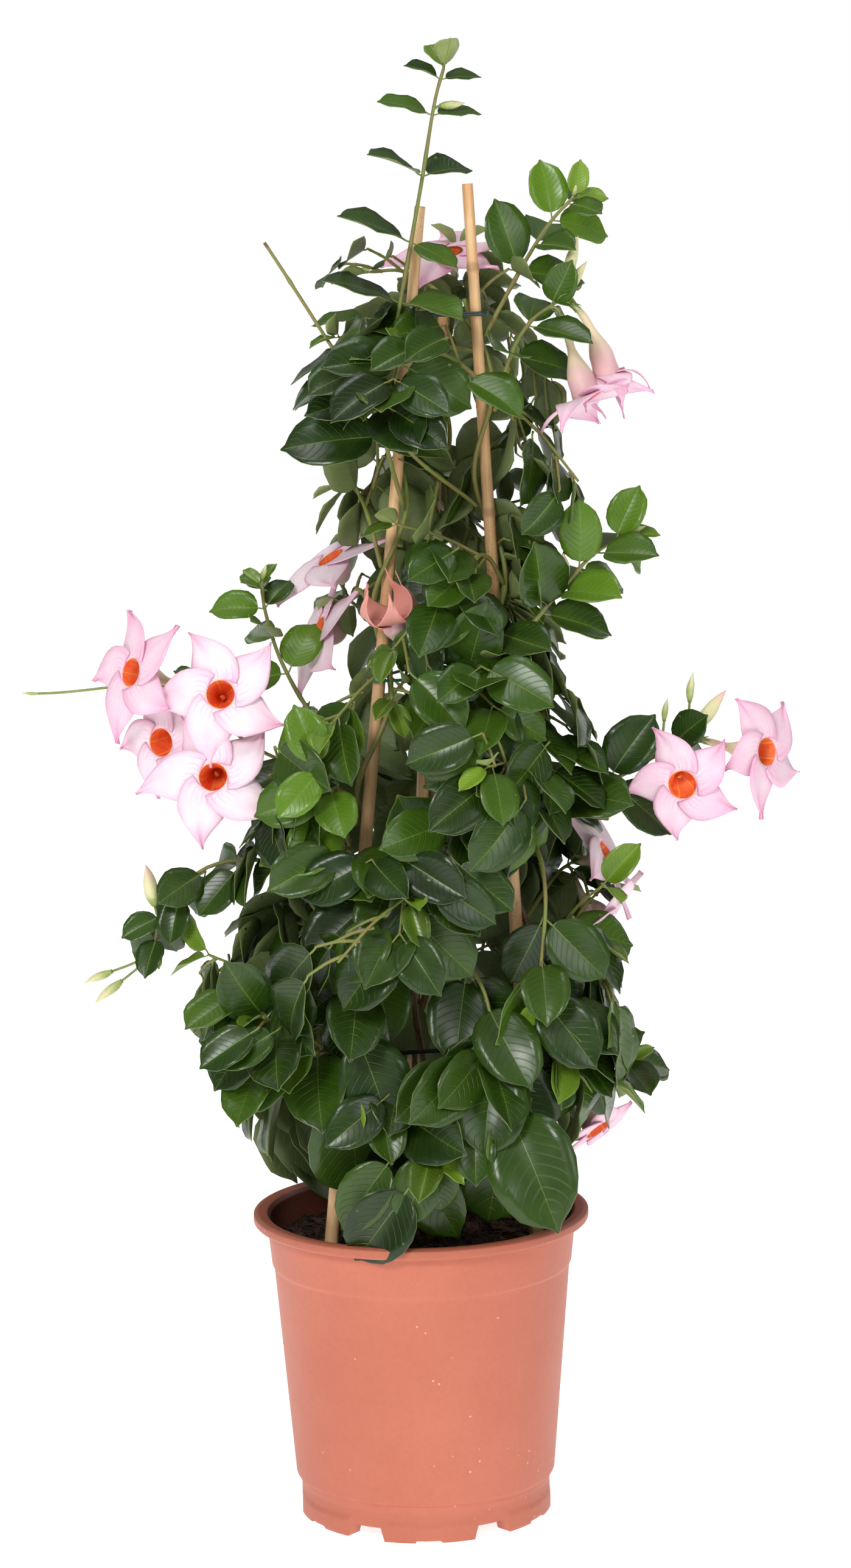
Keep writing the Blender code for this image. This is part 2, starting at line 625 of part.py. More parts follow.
def pot(collection):
    """The container, with gaps between its feet, a notch under each foot and drain holes."""
    top = POT_HEIGHT
    band_foot = POT_HEIGHT - BAND_DEPTH
    profile = (
        (0.0, FLOOR_TOP),
        (BASE_RADIUS - WALL, FLOOR_TOP),
        (BASE_RADIUS - WALL, HEEL_HEIGHT - WALL),
        (HEEL_RADIUS - WALL, HEEL_HEIGHT + WALL),
        (BODY_RADIUS - WALL, band_foot),
        (BAND_FOOT_RADIUS - WALL, band_foot + WALL),
        (BAND_RADIUS - WALL, top - LIP_ROUND),
        (BAND_RADIUS, top),
        (RIM_RADIUS - LIP_ROUND, top),
        (RIM_RADIUS, top - LIP_ROUND),
        (RIM_RADIUS, top - LIP_DEPTH + LIP_ROUND),
        (RIM_RADIUS - LIP_ROUND, top - LIP_DEPTH),
        (BAND_RADIUS + LIP_ROUND, top - LIP_DEPTH),
        (BAND_RADIUS, top - LIP_DEPTH - LIP_ROUND),
        (BAND_FOOT_RADIUS, band_foot),
        (BODY_RADIUS, band_foot - LIP_ROUND),
        (HEEL_RADIUS, HEEL_HEIGHT),
        (BASE_RADIUS, HEEL_HEIGHT - WALL),
        (BASE_RADIUS, 0.0),
        (BASE_RADIUS - FOOT_DEPTH, 0.0),
        (BASE_RADIUS - FOOT_DEPTH, FLOOR_UNDER),
        (0.0, FLOOR_UNDER),
    )
    body = turned("pot", profile, TERRACOTTA, collection)
    cutters = new_collection("pot cutters")
    middle = BASE_RADIUS - FOOT_DEPTH / 2
    for index in range(FOOT_COUNT):
        foot_turn = FOOT_TURN + math.tau * index / FOOT_COUNT
        gap_turn = foot_turn + math.pi / FOOT_COUNT
        gap = box_mesh("foot gap", (3 * FOOT_DEPTH, FOOT_GAP, 2 * FOOT_HEIGHT), (middle, 0, 0))
        add_cutter("foot gap", gap, cutters).rotation_euler.z = gap_turn
        notch = box_mesh("notch", (3 * FOOT_DEPTH, NOTCH_WIDTH, 2 * NOTCH_HEIGHT), (middle, 0, 0))
        add_cutter("notch", notch, cutters).rotation_euler.z = foot_turn
        drain = add_cutter("drain", rod_mesh("drain", DRAIN_RADIUS, 2 * FLOOR_TOP), cutters)
        drain.location = heading(gap_turn) * DRAIN_CIRCLE
    cut(body, cutters)
    return body


def soil(collection):
    """The compost that fills the pot, with a hole for the foot of each cane and vine."""
    band_foot = POT_HEIGHT - BAND_DEPTH
    bottom = FLOOR_TOP + CLEAR
    inner = WALL + CLEAR
    band_low = band_foot + WALL
    edge = mix(BAND_FOOT_RADIUS, BAND_RADIUS, (SOIL_EDGE - band_low) / (POT_HEIGHT - LIP_ROUND - band_low))
    profile = (
        (0.0, SOIL_MIDDLE),
        (SOIL_SHOULDER * edge, mix(SOIL_MIDDLE, SOIL_EDGE, SOIL_SHOULDER ** 2)),
        (edge - inner, SOIL_EDGE),
        (BAND_FOOT_RADIUS - inner, band_low + CLEAR),
        (BODY_RADIUS - inner, band_foot + CLEAR),
        (HEEL_RADIUS - inner, HEEL_HEIGHT + WALL),
        (BASE_RADIUS - inner, HEEL_HEIGHT - WALL),
        (BASE_RADIUS - inner, bottom),
        (0.0, bottom),
    )
    body = turned("soil", profile, COMPOST, collection)
    cutters = new_collection("soil cutters")
    flat = math.cos(math.pi / HOLE_SIDES)  # a hole's flats are nearer its middle than its corners
    for name, cane in CANES.items():
        foot = cane_point(name, cane["foot"][2])
        along = cane_axis(name)
        hole = rod_mesh("cane hole", (CANE_RADIUS + CANE_SWELL + CLEAR) / flat, 2 * CANE_HOLE)
        cutter = add_cutter("cane hole", hole, cutters)
        cutter.location = foot - along * (CANE_HOLE + CLEAR)
        cutter.rotation_euler = along.to_track_quat("Z", "Y").to_euler()
    for vine in VINES.values():
        hole = rod_mesh("vine hole", (VINE_RADIUS + 2 * CLEAR) / flat, 2 * VINE_HOLE)
        cutter = add_cutter("vine hole", hole, cutters)
        cutter.location = (*vine["base"], VINE_BASE_HEIGHT - CLEAR)
    cut(body, cutters)
    return body


# ---- canes and ties


def cane_axis(name):
    return (Vector(CANES[name]["top"]) - Vector(CANES[name]["foot"])).normalized()


def cane_point(name, height):
    foot = Vector(CANES[name]["foot"])
    top = Vector(CANES[name]["top"])
    return foot.lerp(top, (height - foot.z) / (top.z - foot.z))


def cane_middle(height):
    return sum((cane_point(name, height) for name in CANES), Vector()) / len(CANES)


def cane(name, collection):
    """A bamboo cane turned about its own axis, with a swelling at each knot."""
    spec = CANES[name]
    length = (Vector(spec["top"]) - Vector(spec["foot"])).length + CANE_HOLE
    profile = [(0.0, length), (CANE_TOP_RADIUS, length)]
    knots = []
    height = spec["first_knot"]
    while height < length - CANE_KNOT_LENGTH:
        knots.append(height)
        height += CANE_KNOT_SPACING
    for height in reversed(knots):
        radius = mix(CANE_RADIUS, CANE_TOP_RADIUS, height / length)
        profile.append((radius, height + CANE_KNOT_LENGTH / 2))
        profile.append((radius + CANE_SWELL, height))
        profile.append((radius, height - CANE_KNOT_LENGTH / 2))
    profile += [(CANE_RADIUS, 0.0), (0.0, 0.0)]
    obj = turned(name, profile, BAMBOO, collection)
    obj.modifiers["turn"].steps = CANE_SIDES
    obj.modifiers["turn"].render_steps = CANE_SIDES
    obj.location = Vector(spec["foot"]) - cane_axis(name) * CANE_HOLE
    obj.rotation_euler = cane_axis(name).to_track_quat("Z", "Y").to_euler()
    return obj


def wire(name, points, radius, look, collection, closed=False, radii=None):
    """A round wire or stem through its points, as a curve with a bevel."""
    curve = bpy.data.curves.new(name, "CURVE")
    curve.dimensions = "3D"
    curve.bevel_depth = radius
    curve.bevel_resolution = 0
    curve.use_fill_caps = not closed
    spline = curve.splines.new("POLY")
    spline.points.add(len(points) - 1)
    spline.use_cyclic_u = closed
    for index, point in enumerate(points):
        spline.points[index].co = (*point, 1.0)
        spline.points[index].radius = 1.0 if radii is None else radii[index] / radius
    return add_object(name, curve, look, collection)


def tie(name, collection):
    """A hoop pulled round the three canes."""
    spec = TIES[name]
    height = spec["height"]
    middle = cane_middle(height)
    centres = [cane_point(name, height) for name in CANES]
    centres.sort(key=lambda centre: math.atan2(centre.y - middle.y, centre.x - middle.x))
    reach = CANE_RADIUS + CANE_SWELL + spec["radius"] + TIE_GAP
    points = []
    for index, centre in enumerate(centres):
        into = centre - centres[index - 1]
        out_of = centres[(index + 1) % len(centres)] - centre
        start = math.atan2(into.y, into.x) - math.pi / 2
        end = math.atan2(out_of.y, out_of.x) - math.pi / 2
        sweep = (end - start) % math.tau
        for step in range(TIE_CORNER_POINTS):
            turn = start + sweep * step / (TIE_CORNER_POINTS - 1)
            points.append(centre + heading(turn) * reach)
    look = (name.replace("_", " "), spec["colour"], 0.5)
    return wire(name, points, spec["radius"], look, collection, closed=True)


def hook(collection):
    """A wire hook: most of a turn round the left cane, and a short tail to the left."""
    centre = cane_point("cane_left", HOOK_HEIGHT)
    reach = CANE_RADIUS + CANE_SWELL + HOOK_RADIUS + TIE_GAP
    points = []
    for step in range(HOOK_TURN_STEPS + 1):
        turn = mix(*HOOK_TURN, step / HOOK_TURN_STEPS)
        points.append(centre + heading(turn) * reach)
    tail = points[-1]
    for step in range(1, HOOK_TAIL_STEPS + 1):
        share = step / HOOK_TAIL_STEPS
        rise = HOOK_TAIL_RISE * math.sin(math.pi * share)
        points.append(tail + Vector((-HOOK_REACH * share, -HOOK_TAIL_SPREAD * step, rise)))
    return wire("hook", points, HOOK_RADIUS, ("hook wire", (0.03, 0.06, 0.06), 0.5), collection)


# ---- vines


def vine_radius(name, height):
    share = (height - VINE_BASE_HEIGHT) / (VINES[name]["top"] - VINE_BASE_HEIGHT)
    return mix(VINE_RADIUS, VINE_TOP_RADIUS, share)


def vine_point(name, height):
    """The vine's middle line: out of the compost, then round its cane, or up inside the three."""
    spec = VINES[name]
    share = smooth_step((height - VINE_BASE_HEIGHT) / (TWINE_START - VINE_BASE_HEIGHT))
    middle = cane_middle(height)
    if spec["cane"] is None:
        sway = MIDDLE_VINE_SWAY * math.sin(math.pi * (height - VINE_BASE_HEIGHT) / TWINE_PITCH)
        aim = Vector((middle.x + MIDDLE_VINE_SHIFT[0] + sway, middle.y + MIDDLE_VINE_SHIFT[1], height))
    else:
        centre = cane_point(spec["cane"], height)
        inward = math.atan2(middle.y - centre.y, middle.x - centre.x)
        turn = inward + math.tau * max(height - TWINE_START, 0.0) / TWINE_PITCH
        reach = CANE_RADIUS + vine_radius(name, height) + VINE_SLACK
        aim = centre + heading(turn) * reach
    base = Vector((*spec["base"], height))
    return base.lerp(aim, share)


def vine(name, collection):
    top = VINES[name]["top"]
    count = math.ceil((top - VINE_BASE_HEIGHT) / VINE_STEP)
    heights = [mix(VINE_BASE_HEIGHT, top, index / count) for index in range(count + 1)]
    points = [vine_point(name, height) for height in heights]
    radii = [vine_radius(name, height) for height in heights]
    return wire(name, points, VINE_RADIUS, VINE_GREEN, collection, radii=radii)


def spray_root(vine_name, height, toward):
    """The point just clear of a vine's side, on the side that faces a place, or of its top end."""
    if height is None:
        top = VINES[vine_name]["top"]
        end = vine_point(vine_name, top)
        along = (end - vine_point(vine_name, top - VINE_STEP)).normalized()
        slant = along.cross((toward - end).normalized()).length
        return end + along * (CLEAR + TWIG_RADIUS * (slant + ROOT_MARGIN))
    centre = vine_point(vine_name, height)
    away = toward - centre
    slant = abs(away.normalized().z)
    away.z = 0.0
    reach = vine_radius(vine_name, height) + CLEAR + TWIG_RADIUS * (slant + ROOT_MARGIN)
    return centre + away.normalized() * reach


def smooth_path(points, count):
    """Points along a smooth curve through the given ones (Catmull-Rom)."""
    ends = [points[0] * 2 - points[1]] + list(points) + [points[-1] * 2 - points[-2]]
    path = []
    for index in range(count):
        place = index / (count - 1) * (len(points) - 1)
        part = min(int(place), len(points) - 2)
        share = place - part
        before, start, end, after = ends[part:part + 4]
        path.append(0.5 * (2 * start + (end - before) * share
                           + (2 * before - 5 * start + 4 * end - after) * share ** 2
                           + (3 * start - before - 3 * end + after) * share ** 3))
    return path


def cut_vine(collection):
    """A bare stem, cut off, that slants up across the front."""
    through = [Vector(point) for point in CUT_VINE["through"]]
    root = spray_root(CUT_VINE["vine"], CUT_VINE["root"], through[0])
    points = [root] + through
    radius = CUT_VINE["radius"]
    return wire("cut_vine", points, radius, VINE_GREEN, collection)


# ---- masses of foliage


class Mass:
    """The solids of one mass, with what each must stay clear of."""

    def __init__(self, name, neighbours):
        self.name = name
        self.neighbours = neighbours
        self.solids = []
        self.own = []
        self.tried = 0
        self.blades = []

    def is_clear(self, swollen):
        tree = solid_tree(swollen)
        return not any(tree.overlap(other) for other in self.neighbours)

    def is_clear_inside(self, swollen):
        tree = solid_tree(swollen)
        return not any(tree.overlap(other) for other in self.own)

    def add(self, solid):
        self.solids.append(solid)
        self.own.append(solid_tree(solid))


def crown_at(height):
    for lower, upper in zip(CROWN, CROWN[1:]):
        if height <= upper[0]:
            share = max(height - lower[0], 0.0) / (upper[0] - lower[0])
            return mix(lower[1], upper[1], share), mix(lower[2], upper[2], share)
    return CROWN[-1][1], 0.0


def is_in_crown(point):
    middle, radius = crown_at(point.z)
    return math.hypot(point.x - middle, point.y + CROWN_FORWARD) < radius


def outward_at(point):
    middle, _ = crown_at(min(point.z, CROWN[-1][0]))
    away = Vector((point.x - middle, point.y, 0.0))
    return away.normalized() if away.length > 0.001 else heading(0.0)


def path_at(path, share):
    place = min(max(share, 0.0), 1.0) * (len(path) - 1)
    part = min(int(place), len(path) - 2)
    return path[part].lerp(path[part + 1], place - part)


def path_heading(path, share):
    return (path_at(path, share + 0.1) - path_at(path, share - 0.1)).normalized()


def front_view(point):
    """Where a point is seen from the front, in the upright plane through the pot's middle."""
    scale = VIEWER.y / (VIEWER.y - point.y)
    return Vector((VIEWER.x + (point.x - VIEWER.x) * scale, VIEWER.z + (point.z - VIEWER.z) * scale))


def is_in_the_way(root, axis, normal, size):
    """Whether a leaf would hide a cane or a leaf that is kept in sight from the front."""
    across = axis.cross(normal) * 0.5 * LEAF_WIDTH * size
    spots = [root + axis * size * along + across * side for along, side in BLADE_SPOTS]
    seen = [(spot.y, front_view(spot)) for spot in spots]
    for start, end, room in KEPT_IN_SIGHT:
        nearest = min(start.y, end.y)
        first = front_view(start)
        line = front_view(end) - first
        for depth, spot in seen:
            if depth < nearest:
                share = min(max((spot - first).dot(line) / line.length_squared, 0.0), 1.0)
                if (first + line * share - spot).length < room:
                    return True
    return False


def leaf_frame(point, along, turn, spec):
    """A leaf's axis and normal: sideways from its shoot, outward and down, facing up and out."""
    level = along.cross(UP)
    level = level.normalized() if level.length > 0.01 else Vector((1, 0, 0))
    rise = level.cross(along)
    side = level * math.cos(turn) + rise * math.sin(turn)
    outward = outward_at(point)
    axis = (side + along * LEAF_SPREAD + outward * LEAF_OUTWARD - UP * spec["droop"]).normalized()
    if spec["bounded"]:
        normal = UP * spec["face_up"] + outward * (1.0 - spec["face_up"])
    else:
        normal = Vector(spec["look"])
    normal = normal - axis * normal.dot(axis)
    if normal.length < 0.05:
        normal = along - axis * along.dot(axis)
    return axis, normal.normalized()


def add_leaf(mass, point, along, turn, length, spec):
    """The first of several ways to set a leaf that is clear of everything, or none."""
    mass.tried += 1
    dice = random.Random(f"{mass.name} leaf {mass.tried}")
    turn += dice.uniform(-LEAF_TURN_RANGE, LEAF_TURN_RANGE)
    length *= dice.uniform(*LEAF_SIZE_RANGE)
    tilt = dice.uniform(-LEAF_TILT_RANGE, LEAF_TILT_RANGE)
    for attempt in range(LEAF_ATTEMPTS):
        away = LEAF_TURN_STEP * math.ceil(attempt / 2) * (-1) ** attempt
        size = length * (1.0 - LEAF_SHRINK_STEP * attempt)
        way = dict(spec, droop=spec["droop"] + tilt + LEAF_DROOP_STEP * attempt)
        axis, normal = leaf_frame(point, along, turn + away, way)
        tip = point + axis * size
        if spec["bounded"] and not is_in_crown(tip) or is_in_the_way(point, axis, normal, size):
            continue
        whole = leaf(point, axis, normal, size, LEAF_ROOM, SWELL)
        blade = leaf(point, axis, normal, size, LEAF_ROOM, SWELL, LEAF_NECK)
        if mass.is_clear(whole) and mass.is_clear_inside(blade):
            mass.add(leaf(point, axis, normal, size))
            mass.blades.append((point.lerp(tip, SEEN_BLADE[0]), point.lerp(tip, SEEN_BLADE[1]),
                                SEEN_BLADE_ROOM * LEAF_WIDTH * size))
            return


def add_pairs(mass, path, spec, shares, turn, lengths):
    """Opposite pairs of leaves along a shoot, each pair turned from the last, mostly by a quarter."""
    for index, share in enumerate(shares):
        for side in (0.0, math.pi):
            pair_turn = turn + index * spec.get("step", math.pi / 2) + side
            add_leaf(mass, path_at(path, share), path_heading(path, share), pair_turn, lengths[index], spec)


def add_twig(mass, path, radius, tip_radius):
    beyond_root = [path[0].lerp(path[1], TWIG_FREE)] + path[1:]
    if not mass.is_clear(twig(beyond_root, radius, tip_radius, SWELL)):
        return False
    if not mass.is_clear(twig(path, radius, tip_radius, TOUCH)):
        return False
    mass.add(twig(path, radius, tip_radius))
    return True


def spray_stem(spec, attempt):
    """A spray's stem, with its root a little higher or lower on the vine at each attempt."""
    through = [Vector(point) for point in spec["through"]]
    height = spec["root"]
    if height is not None:
        height += ROOT_STEP * math.ceil(attempt / 2) * (-1) ** attempt
    root = spray_root(spec["vine"], height, through[0])
    return smooth_path([root] + through, SPRAY_POINTS + len(through))


def grow_spray(name, neighbours):
    """A spray that stands out of the crown: its stem, blossom, buds and pairs of leaves."""
    spec = dict(SPRAYS[name], bounded=False)
    mass = Mass(name, neighbours)
    for attempt in range(STEM_ATTEMPTS):
        path = spray_stem(spec, attempt)
        if add_twig(mass, path, TWIG_RADIUS, TWIG_TIP_RADIUS):
            break
    else:
        print("no room for", name)
        return None
    for bloom in spec["flowers"]:
        root = path_at(path, bloom["at"] - INTO_STEM)
        if mass.is_clear(flower(root, bloom, SWELL)):
            mass.add(flower(root, bloom))
        else:
            print("flower in the way:", name, bloom["throat"])
    for shape in spec["buds"]:
        start = path_at(path, shape["at"] - INTO_STEM)
        if mass.is_clear(bud(start, Vector(shape["tip"]), shape["radius"], SWELL)):
            mass.add(bud(start, Vector(shape["tip"]), shape["radius"]))
    count = spec["pairs"]
    steps = [index / max(count - 1, 1) for index in range(count)]
    shares = [mix(spec["first"], SPRAY_LAST_PAIR, step) for step in steps]
    lengths = [mix(spec["leaf"], spec["tip_leaf"], step) for step in steps]
    add_pairs(mass, path, spec, shares, math.radians(spec["turn"]), lengths)
    if name in SPRAYS_IN_SIGHT:
        KEPT_IN_SIGHT.extend(mass.blades)
    return mass


def nearest_vine(azimuth, height):
    """The vine that stands furthest out toward an azimuth."""
    middle = cane_middle(height)
    standing = [name for name in VINES if VINES[name]["top"] > height]
    return max(standing, key=lambda name: (vine_point(name, height) - middle).dot(heading(azimuth)))


def mass_stem(spec, attempt):
    """A stem from the nearest vine out to the crown's side, arched."""
    step = math.ceil(attempt / 2) * (-1) ** attempt
    azimuth = spec["azimuth"] + AZIMUTH_STEP * step
    height = min(spec["height"] + ROOT_STEP * step, MASS_ROOT_LIMIT)
    middle, radius = crown_at(spec["height"])
    tip = Vector((middle, 0, spec["height"])) + heading(azimuth) * radius * spec["reach"]
    root = spray_root(nearest_vine(azimuth, height), height, tip)
    bend = root.lerp(tip, 0.5) + UP * STEM_ARCH
    return smooth_path([root, bend, tip], STEM_POINTS)


def mass_spec(index):
    """Where one of the spiral's masses stands, and the kind of leaves it bears."""
    share = index / (MASS_COUNT - 1)
    rise = share ** MASS_CROWDING
    spec = {key: mix(LOW_FOLIAGE[key], HIGH_FOLIAGE[key], rise) for key in LOW_FOLIAGE}
    spec["height"] = mix(MASS_LOWEST, MASS_HIGHEST, rise)
    spec["azimuth"] = MASS_FIRST_AZIMUTH + GOLDEN_ANGLE * index
    spec["bounded"] = True
    return spec


def grow_mass(index, neighbours):
    """One mass of the spiral: a stem out to the crown's side, side shoots and pairs of leaves."""
    spec = mass_spec(index)
    mass = Mass(f"foliage_{index + 1:02d}", neighbours)
    for attempt in range(STEM_ATTEMPTS):
        path = mass_stem(spec, attempt)
        if add_twig(mass, path, TWIG_RADIUS, TWIG_TIP_RADIUS):
            break
    else:
        print("no room for", mass.name)
        return None
    shoots = []
    for number in range(SHOOT_COUNT):
        share = mix(*SHOOT_SHARES, number / (SHOOT_COUNT - 1))
        dice = random.Random(f"{mass.name} shoot {number}")
        along = path_heading(path, share)
        side = along.cross(UP).normalized() * (-1) ** number
        rise = dice.uniform(*SHOOT_RISE_RANGE) * (-1) ** (number // 2 + index)
        lean = side + along * dice.uniform(*SHOOT_LEAN_RANGE) + UP * rise
        start = path_at(path, share)
        end = start + lean.normalized() * SHOOT_LENGTH * dice.uniform(*SHOOT_LENGTH_RANGE)
        shoot = [start, end]
        if is_in_crown(end) and add_twig(mass, shoot, SHOOT_RADIUS, SHOOT_TIP_RADIUS):
            shoots.append((number, shoot))
    lengths = [spec["leaf"] * size for size in PAIR_SIZES]
    for number, shoot in shoots:
        add_pairs(mass, shoot, spec, SHOOT_PAIRS, GOLDEN_ANGLE * number, lengths)
    add_pairs(mass, path, spec, STEM_PAIRS, 0.0, lengths)
    return mass


def united(name, solids, solver, collection):
    """The Boolean union of the first solid with all the rest, as a mesh."""
    stem = bpy.data.objects.new(name, solid_mesh(name, solids[0]))
    collection.objects.link(stem)
    operands = new_collection("operands")
    for solid in solids[1:]:
        operands.objects.link(bpy.data.objects.new("operand", solid_mesh("operand", solid)))
    union = stem.modifiers.new("fuse", "BOOLEAN")
    union.operation = "UNION"
    union.operand_type = "COLLECTION"
    union.collection = operands
    union.solver = solver
    evaluated = stem.evaluated_get(bpy.context.evaluated_depsgraph_get())
    fused = bpy.data.meshes.new_from_object(evaluated)
    for operand in list(operands.objects):
        bpy.data.objects.remove(operand, do_unlink=True)
    bpy.data.collections.remove(operands)
    bpy.data.objects.remove(stem, do_unlink=True)
    return fused


def is_one_body(mesh):
    """Whether a mesh is a single closed body once its near-coincident points are welded."""
    work = bmesh.new()
    work.from_mesh(mesh)
    bmesh.ops.remove_doubles(work, verts=work.verts, dist=WELD)
    closed = all(len(edge.link_faces) == 2 for edge in work.edges)
    reached = {work.verts[:][0]}
    front = list(reached)
    while front:
        point = front.pop()
        for edge in point.link_edges:
            other = edge.other_vert(point)
            if other not in reached:
                reached.add(other)
                front.append(other)
    whole = len(reached) == len(work.verts)
    work.free()
    return closed and whole


def fuse(mass, collection):
    """One closed body from a mass's solids. If neither solver manages, the mass loses a leaf."""
    solids = list(mass.solids)
    while True:
        for solver in ("EXACT", "MANIFOLD"):
            mesh = united(mass.name, solids, solver, collection)
            if is_one_body(mesh):
                mesh.materials.clear()
                mesh.name = mass.name
                return add_object(mass.name, mesh, LEAF_GREEN, collection)
        print("left out of", mass.name, ": its last leaf")
        solids.pop()


def object_tree(obj):
    """The search tree of an object as evaluated, in world space."""
    evaluated = obj.evaluated_get(bpy.context.evaluated_depsgraph_get())
    mesh = evaluated.to_mesh()
    points = [obj.matrix_world @ vertex.co for vertex in mesh.vertices]
    tree = BVHTree.FromPolygons(points, [tuple(face.vertices) for face in mesh.polygons])
    evaluated.to_mesh_clear()
    return tree


def mass_tree(mass):
    points = []
    faces = []
    for solid_points, solid_faces in mass.solids:
        start = len(points)
        points += solid_points
        faces += [tuple(start + corner for corner in face) for face in solid_faces]
    return BVHTree.FromPolygons(points, faces)


def foliage(collection, neighbours):
    """The sprays first, and then the spiral's masses, each in what room is left."""
    for name, stretches in CANES_IN_SIGHT.items():
        for low, high in stretches:
            KEPT_IN_SIGHT.append((cane_point(name, low), cane_point(name, high), CANE_ROOM))
    masses = []
    for name in SPRAYS:
        mass = grow_spray(name, neighbours)
        if mass:
            neighbours.append(mass_tree(mass))
            masses.append(mass)
    for index in range(MASS_COUNT):
        mass = grow_mass(index, neighbours)
        if mass:
            neighbours.append(mass_tree(mass))
            masses.append(mass)
    for mass in masses:
        fuse(mass, collection)
    return masses


def build():
    clear_scene()
    collection = new_collection("potted mandevilla")
    standing = [pot(collection), soil(collection)]
    standing += [cane(name, collection) for name in CANES]
    standing += [tie(name, collection) for name in TIES]
    standing.append(hook(collection))
    standing += [vine(name, collection) for name in VINES]
    standing.append(cut_vine(collection))
    bpy.context.view_layer.update()
    masses = foliage(collection, [object_tree(obj) for obj in standing])
    print("leaves:", sum(len(mass.blades) for mass in masses), "in", len(masses), "masses")


build()
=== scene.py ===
import math
import random

import bpy
import numpy as np
from mathutils import Matrix, Vector
from mathutils.kdtree import KDTree


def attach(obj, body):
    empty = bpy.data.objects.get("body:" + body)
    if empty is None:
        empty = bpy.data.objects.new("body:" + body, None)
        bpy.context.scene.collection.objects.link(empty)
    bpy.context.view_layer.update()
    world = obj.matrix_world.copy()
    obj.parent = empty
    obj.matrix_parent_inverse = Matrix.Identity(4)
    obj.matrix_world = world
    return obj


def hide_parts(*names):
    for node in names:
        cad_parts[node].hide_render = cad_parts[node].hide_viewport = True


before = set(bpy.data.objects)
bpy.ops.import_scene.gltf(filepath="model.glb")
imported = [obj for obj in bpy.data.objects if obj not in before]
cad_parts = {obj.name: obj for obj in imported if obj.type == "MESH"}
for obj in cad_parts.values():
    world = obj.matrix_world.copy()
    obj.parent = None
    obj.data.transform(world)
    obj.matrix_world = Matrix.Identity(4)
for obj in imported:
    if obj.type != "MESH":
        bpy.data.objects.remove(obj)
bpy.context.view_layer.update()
print("frame loaded:", len(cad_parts), "nodes")

up = Vector((0, 0, 1))
goldenAngle = math.radians(137.5)


def mix(first, second, share):
    return first + (second - first) * share


def smoothStep(share):
    share = np.clip(share, 0.0, 1.0)
    return share * share * (3.0 - 2.0 * share)


def heading(azimuth):
    return Vector((math.cos(azimuth), math.sin(azimuth), 0.0))


def unit(vectors):
    return vectors / np.maximum(np.linalg.norm(vectors, axis=-1, keepdims=True), 1e-12)


def ripple(points, size, seed):
    # A soft unevenness between about -1 and 1: the mean of six sine waves in seeded directions, a size long
    dice = np.random.default_rng(seed)
    waves = unit(dice.normal(size=(6, 3))) * dice.uniform(0.7, 1.5, (6, 1)) * math.tau / size
    phases = dice.uniform(0.0, math.tau, 6)
    return np.sin(np.asarray(points) @ waves.T + phases).mean(axis=-1) * 2.0


# Surfaces: points in grids, gathered and then joined into one mesh


def gridFaces(rows, columns, wrap=False):
    # Four-sided faces of a grid counted row by row. With wrap the last column meets the first
    row, column = np.meshgrid(np.arange(rows - 1), np.arange(columns if wrap else columns - 1), indexing="ij")
    beside = (column + 1) % columns
    corners = (row * columns + column, row * columns + beside,
               (row + 1) * columns + beside, (row + 1) * columns + column)
    return np.stack(corners, axis=-1).reshape(-1, 4)


def copiesOf(faces, count, pointsEach):
    # The same faces for each of many copies
    return (faces[None] + (np.arange(count) * pointsEach)[:, None, None]).reshape(-1, faces.shape[1])


class Surfaces:
    # What one mesh is made of: points, faces of any number of corners, and what each point carries

    def __init__(self):
        self.points, self.places, self.shades, self.faces, self.looks = [], [], [], [], []
        self.count = 0

    def add(self, points, faceSets, place=None, shade=0.0, look=0):
        # place is the pair (across, along) of each point for its map, and shade one number for each point
        points = np.asarray(points, float).reshape(-1, 3)
        number = len(points)
        self.points.append(points)
        self.places.append(np.zeros((number, 2)) if place is None else np.asarray(place).reshape(-1, 2))
        self.shades.append(np.broadcast_to(np.asarray(shade, float).reshape(-1), (number,)))
        for faces in faceSets:
            self.faces.append(faces + self.count)
            self.looks.append(np.broadcast_to(np.asarray(look), (len(faces),)))
        self.count += number

    def piece(self, name, materials, slot, replaces=(), isSmooth=True):
        corners = np.concatenate([faces.ravel() for faces in self.faces]).astype(np.int32)
        sizes = np.concatenate([np.full(len(faces), faces.shape[1]) for faces in self.faces])
        starts = np.concatenate([[0], np.cumsum(sizes)[:-1]]).astype(np.int32)
        mesh = bpy.data.meshes.new(name)
        mesh.vertices.add(self.count)
        mesh.vertices.foreach_set("co", np.concatenate(self.points).astype(np.float32).ravel())
        mesh.loops.add(len(corners))
        mesh.loops.foreach_set("vertex_index", corners)
        mesh.polygons.add(len(starts))
        mesh.polygons.foreach_set("loop_start", starts)
        mesh.polygons.foreach_set("material_index", np.concatenate(self.looks).astype(np.int32))
        mesh.polygons.foreach_set("use_smooth", np.full(len(starts), isSmooth))
        mesh.update(calc_edges=True)
        places = mesh.uv_layers.new(name="place")
        places.data.foreach_set("uv", np.concatenate(self.places)[corners].astype(np.float32).ravel())
        shade = mesh.attributes.new("shade", "FLOAT", "POINT")
        shade.data.foreach_set("value", np.concatenate(self.shades).astype(np.float32))
        for material in materials:
            mesh.materials.append(material)
        made = bpy.data.objects.new(name, mesh)
        bpy.context.scene.collection.objects.link(made)
        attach(made, "root")
        if replaces:
            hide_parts(*replaces)
        triangles = int((sizes - 2).sum())
        print(f"  {name}: {triangles} triangles")
        return made


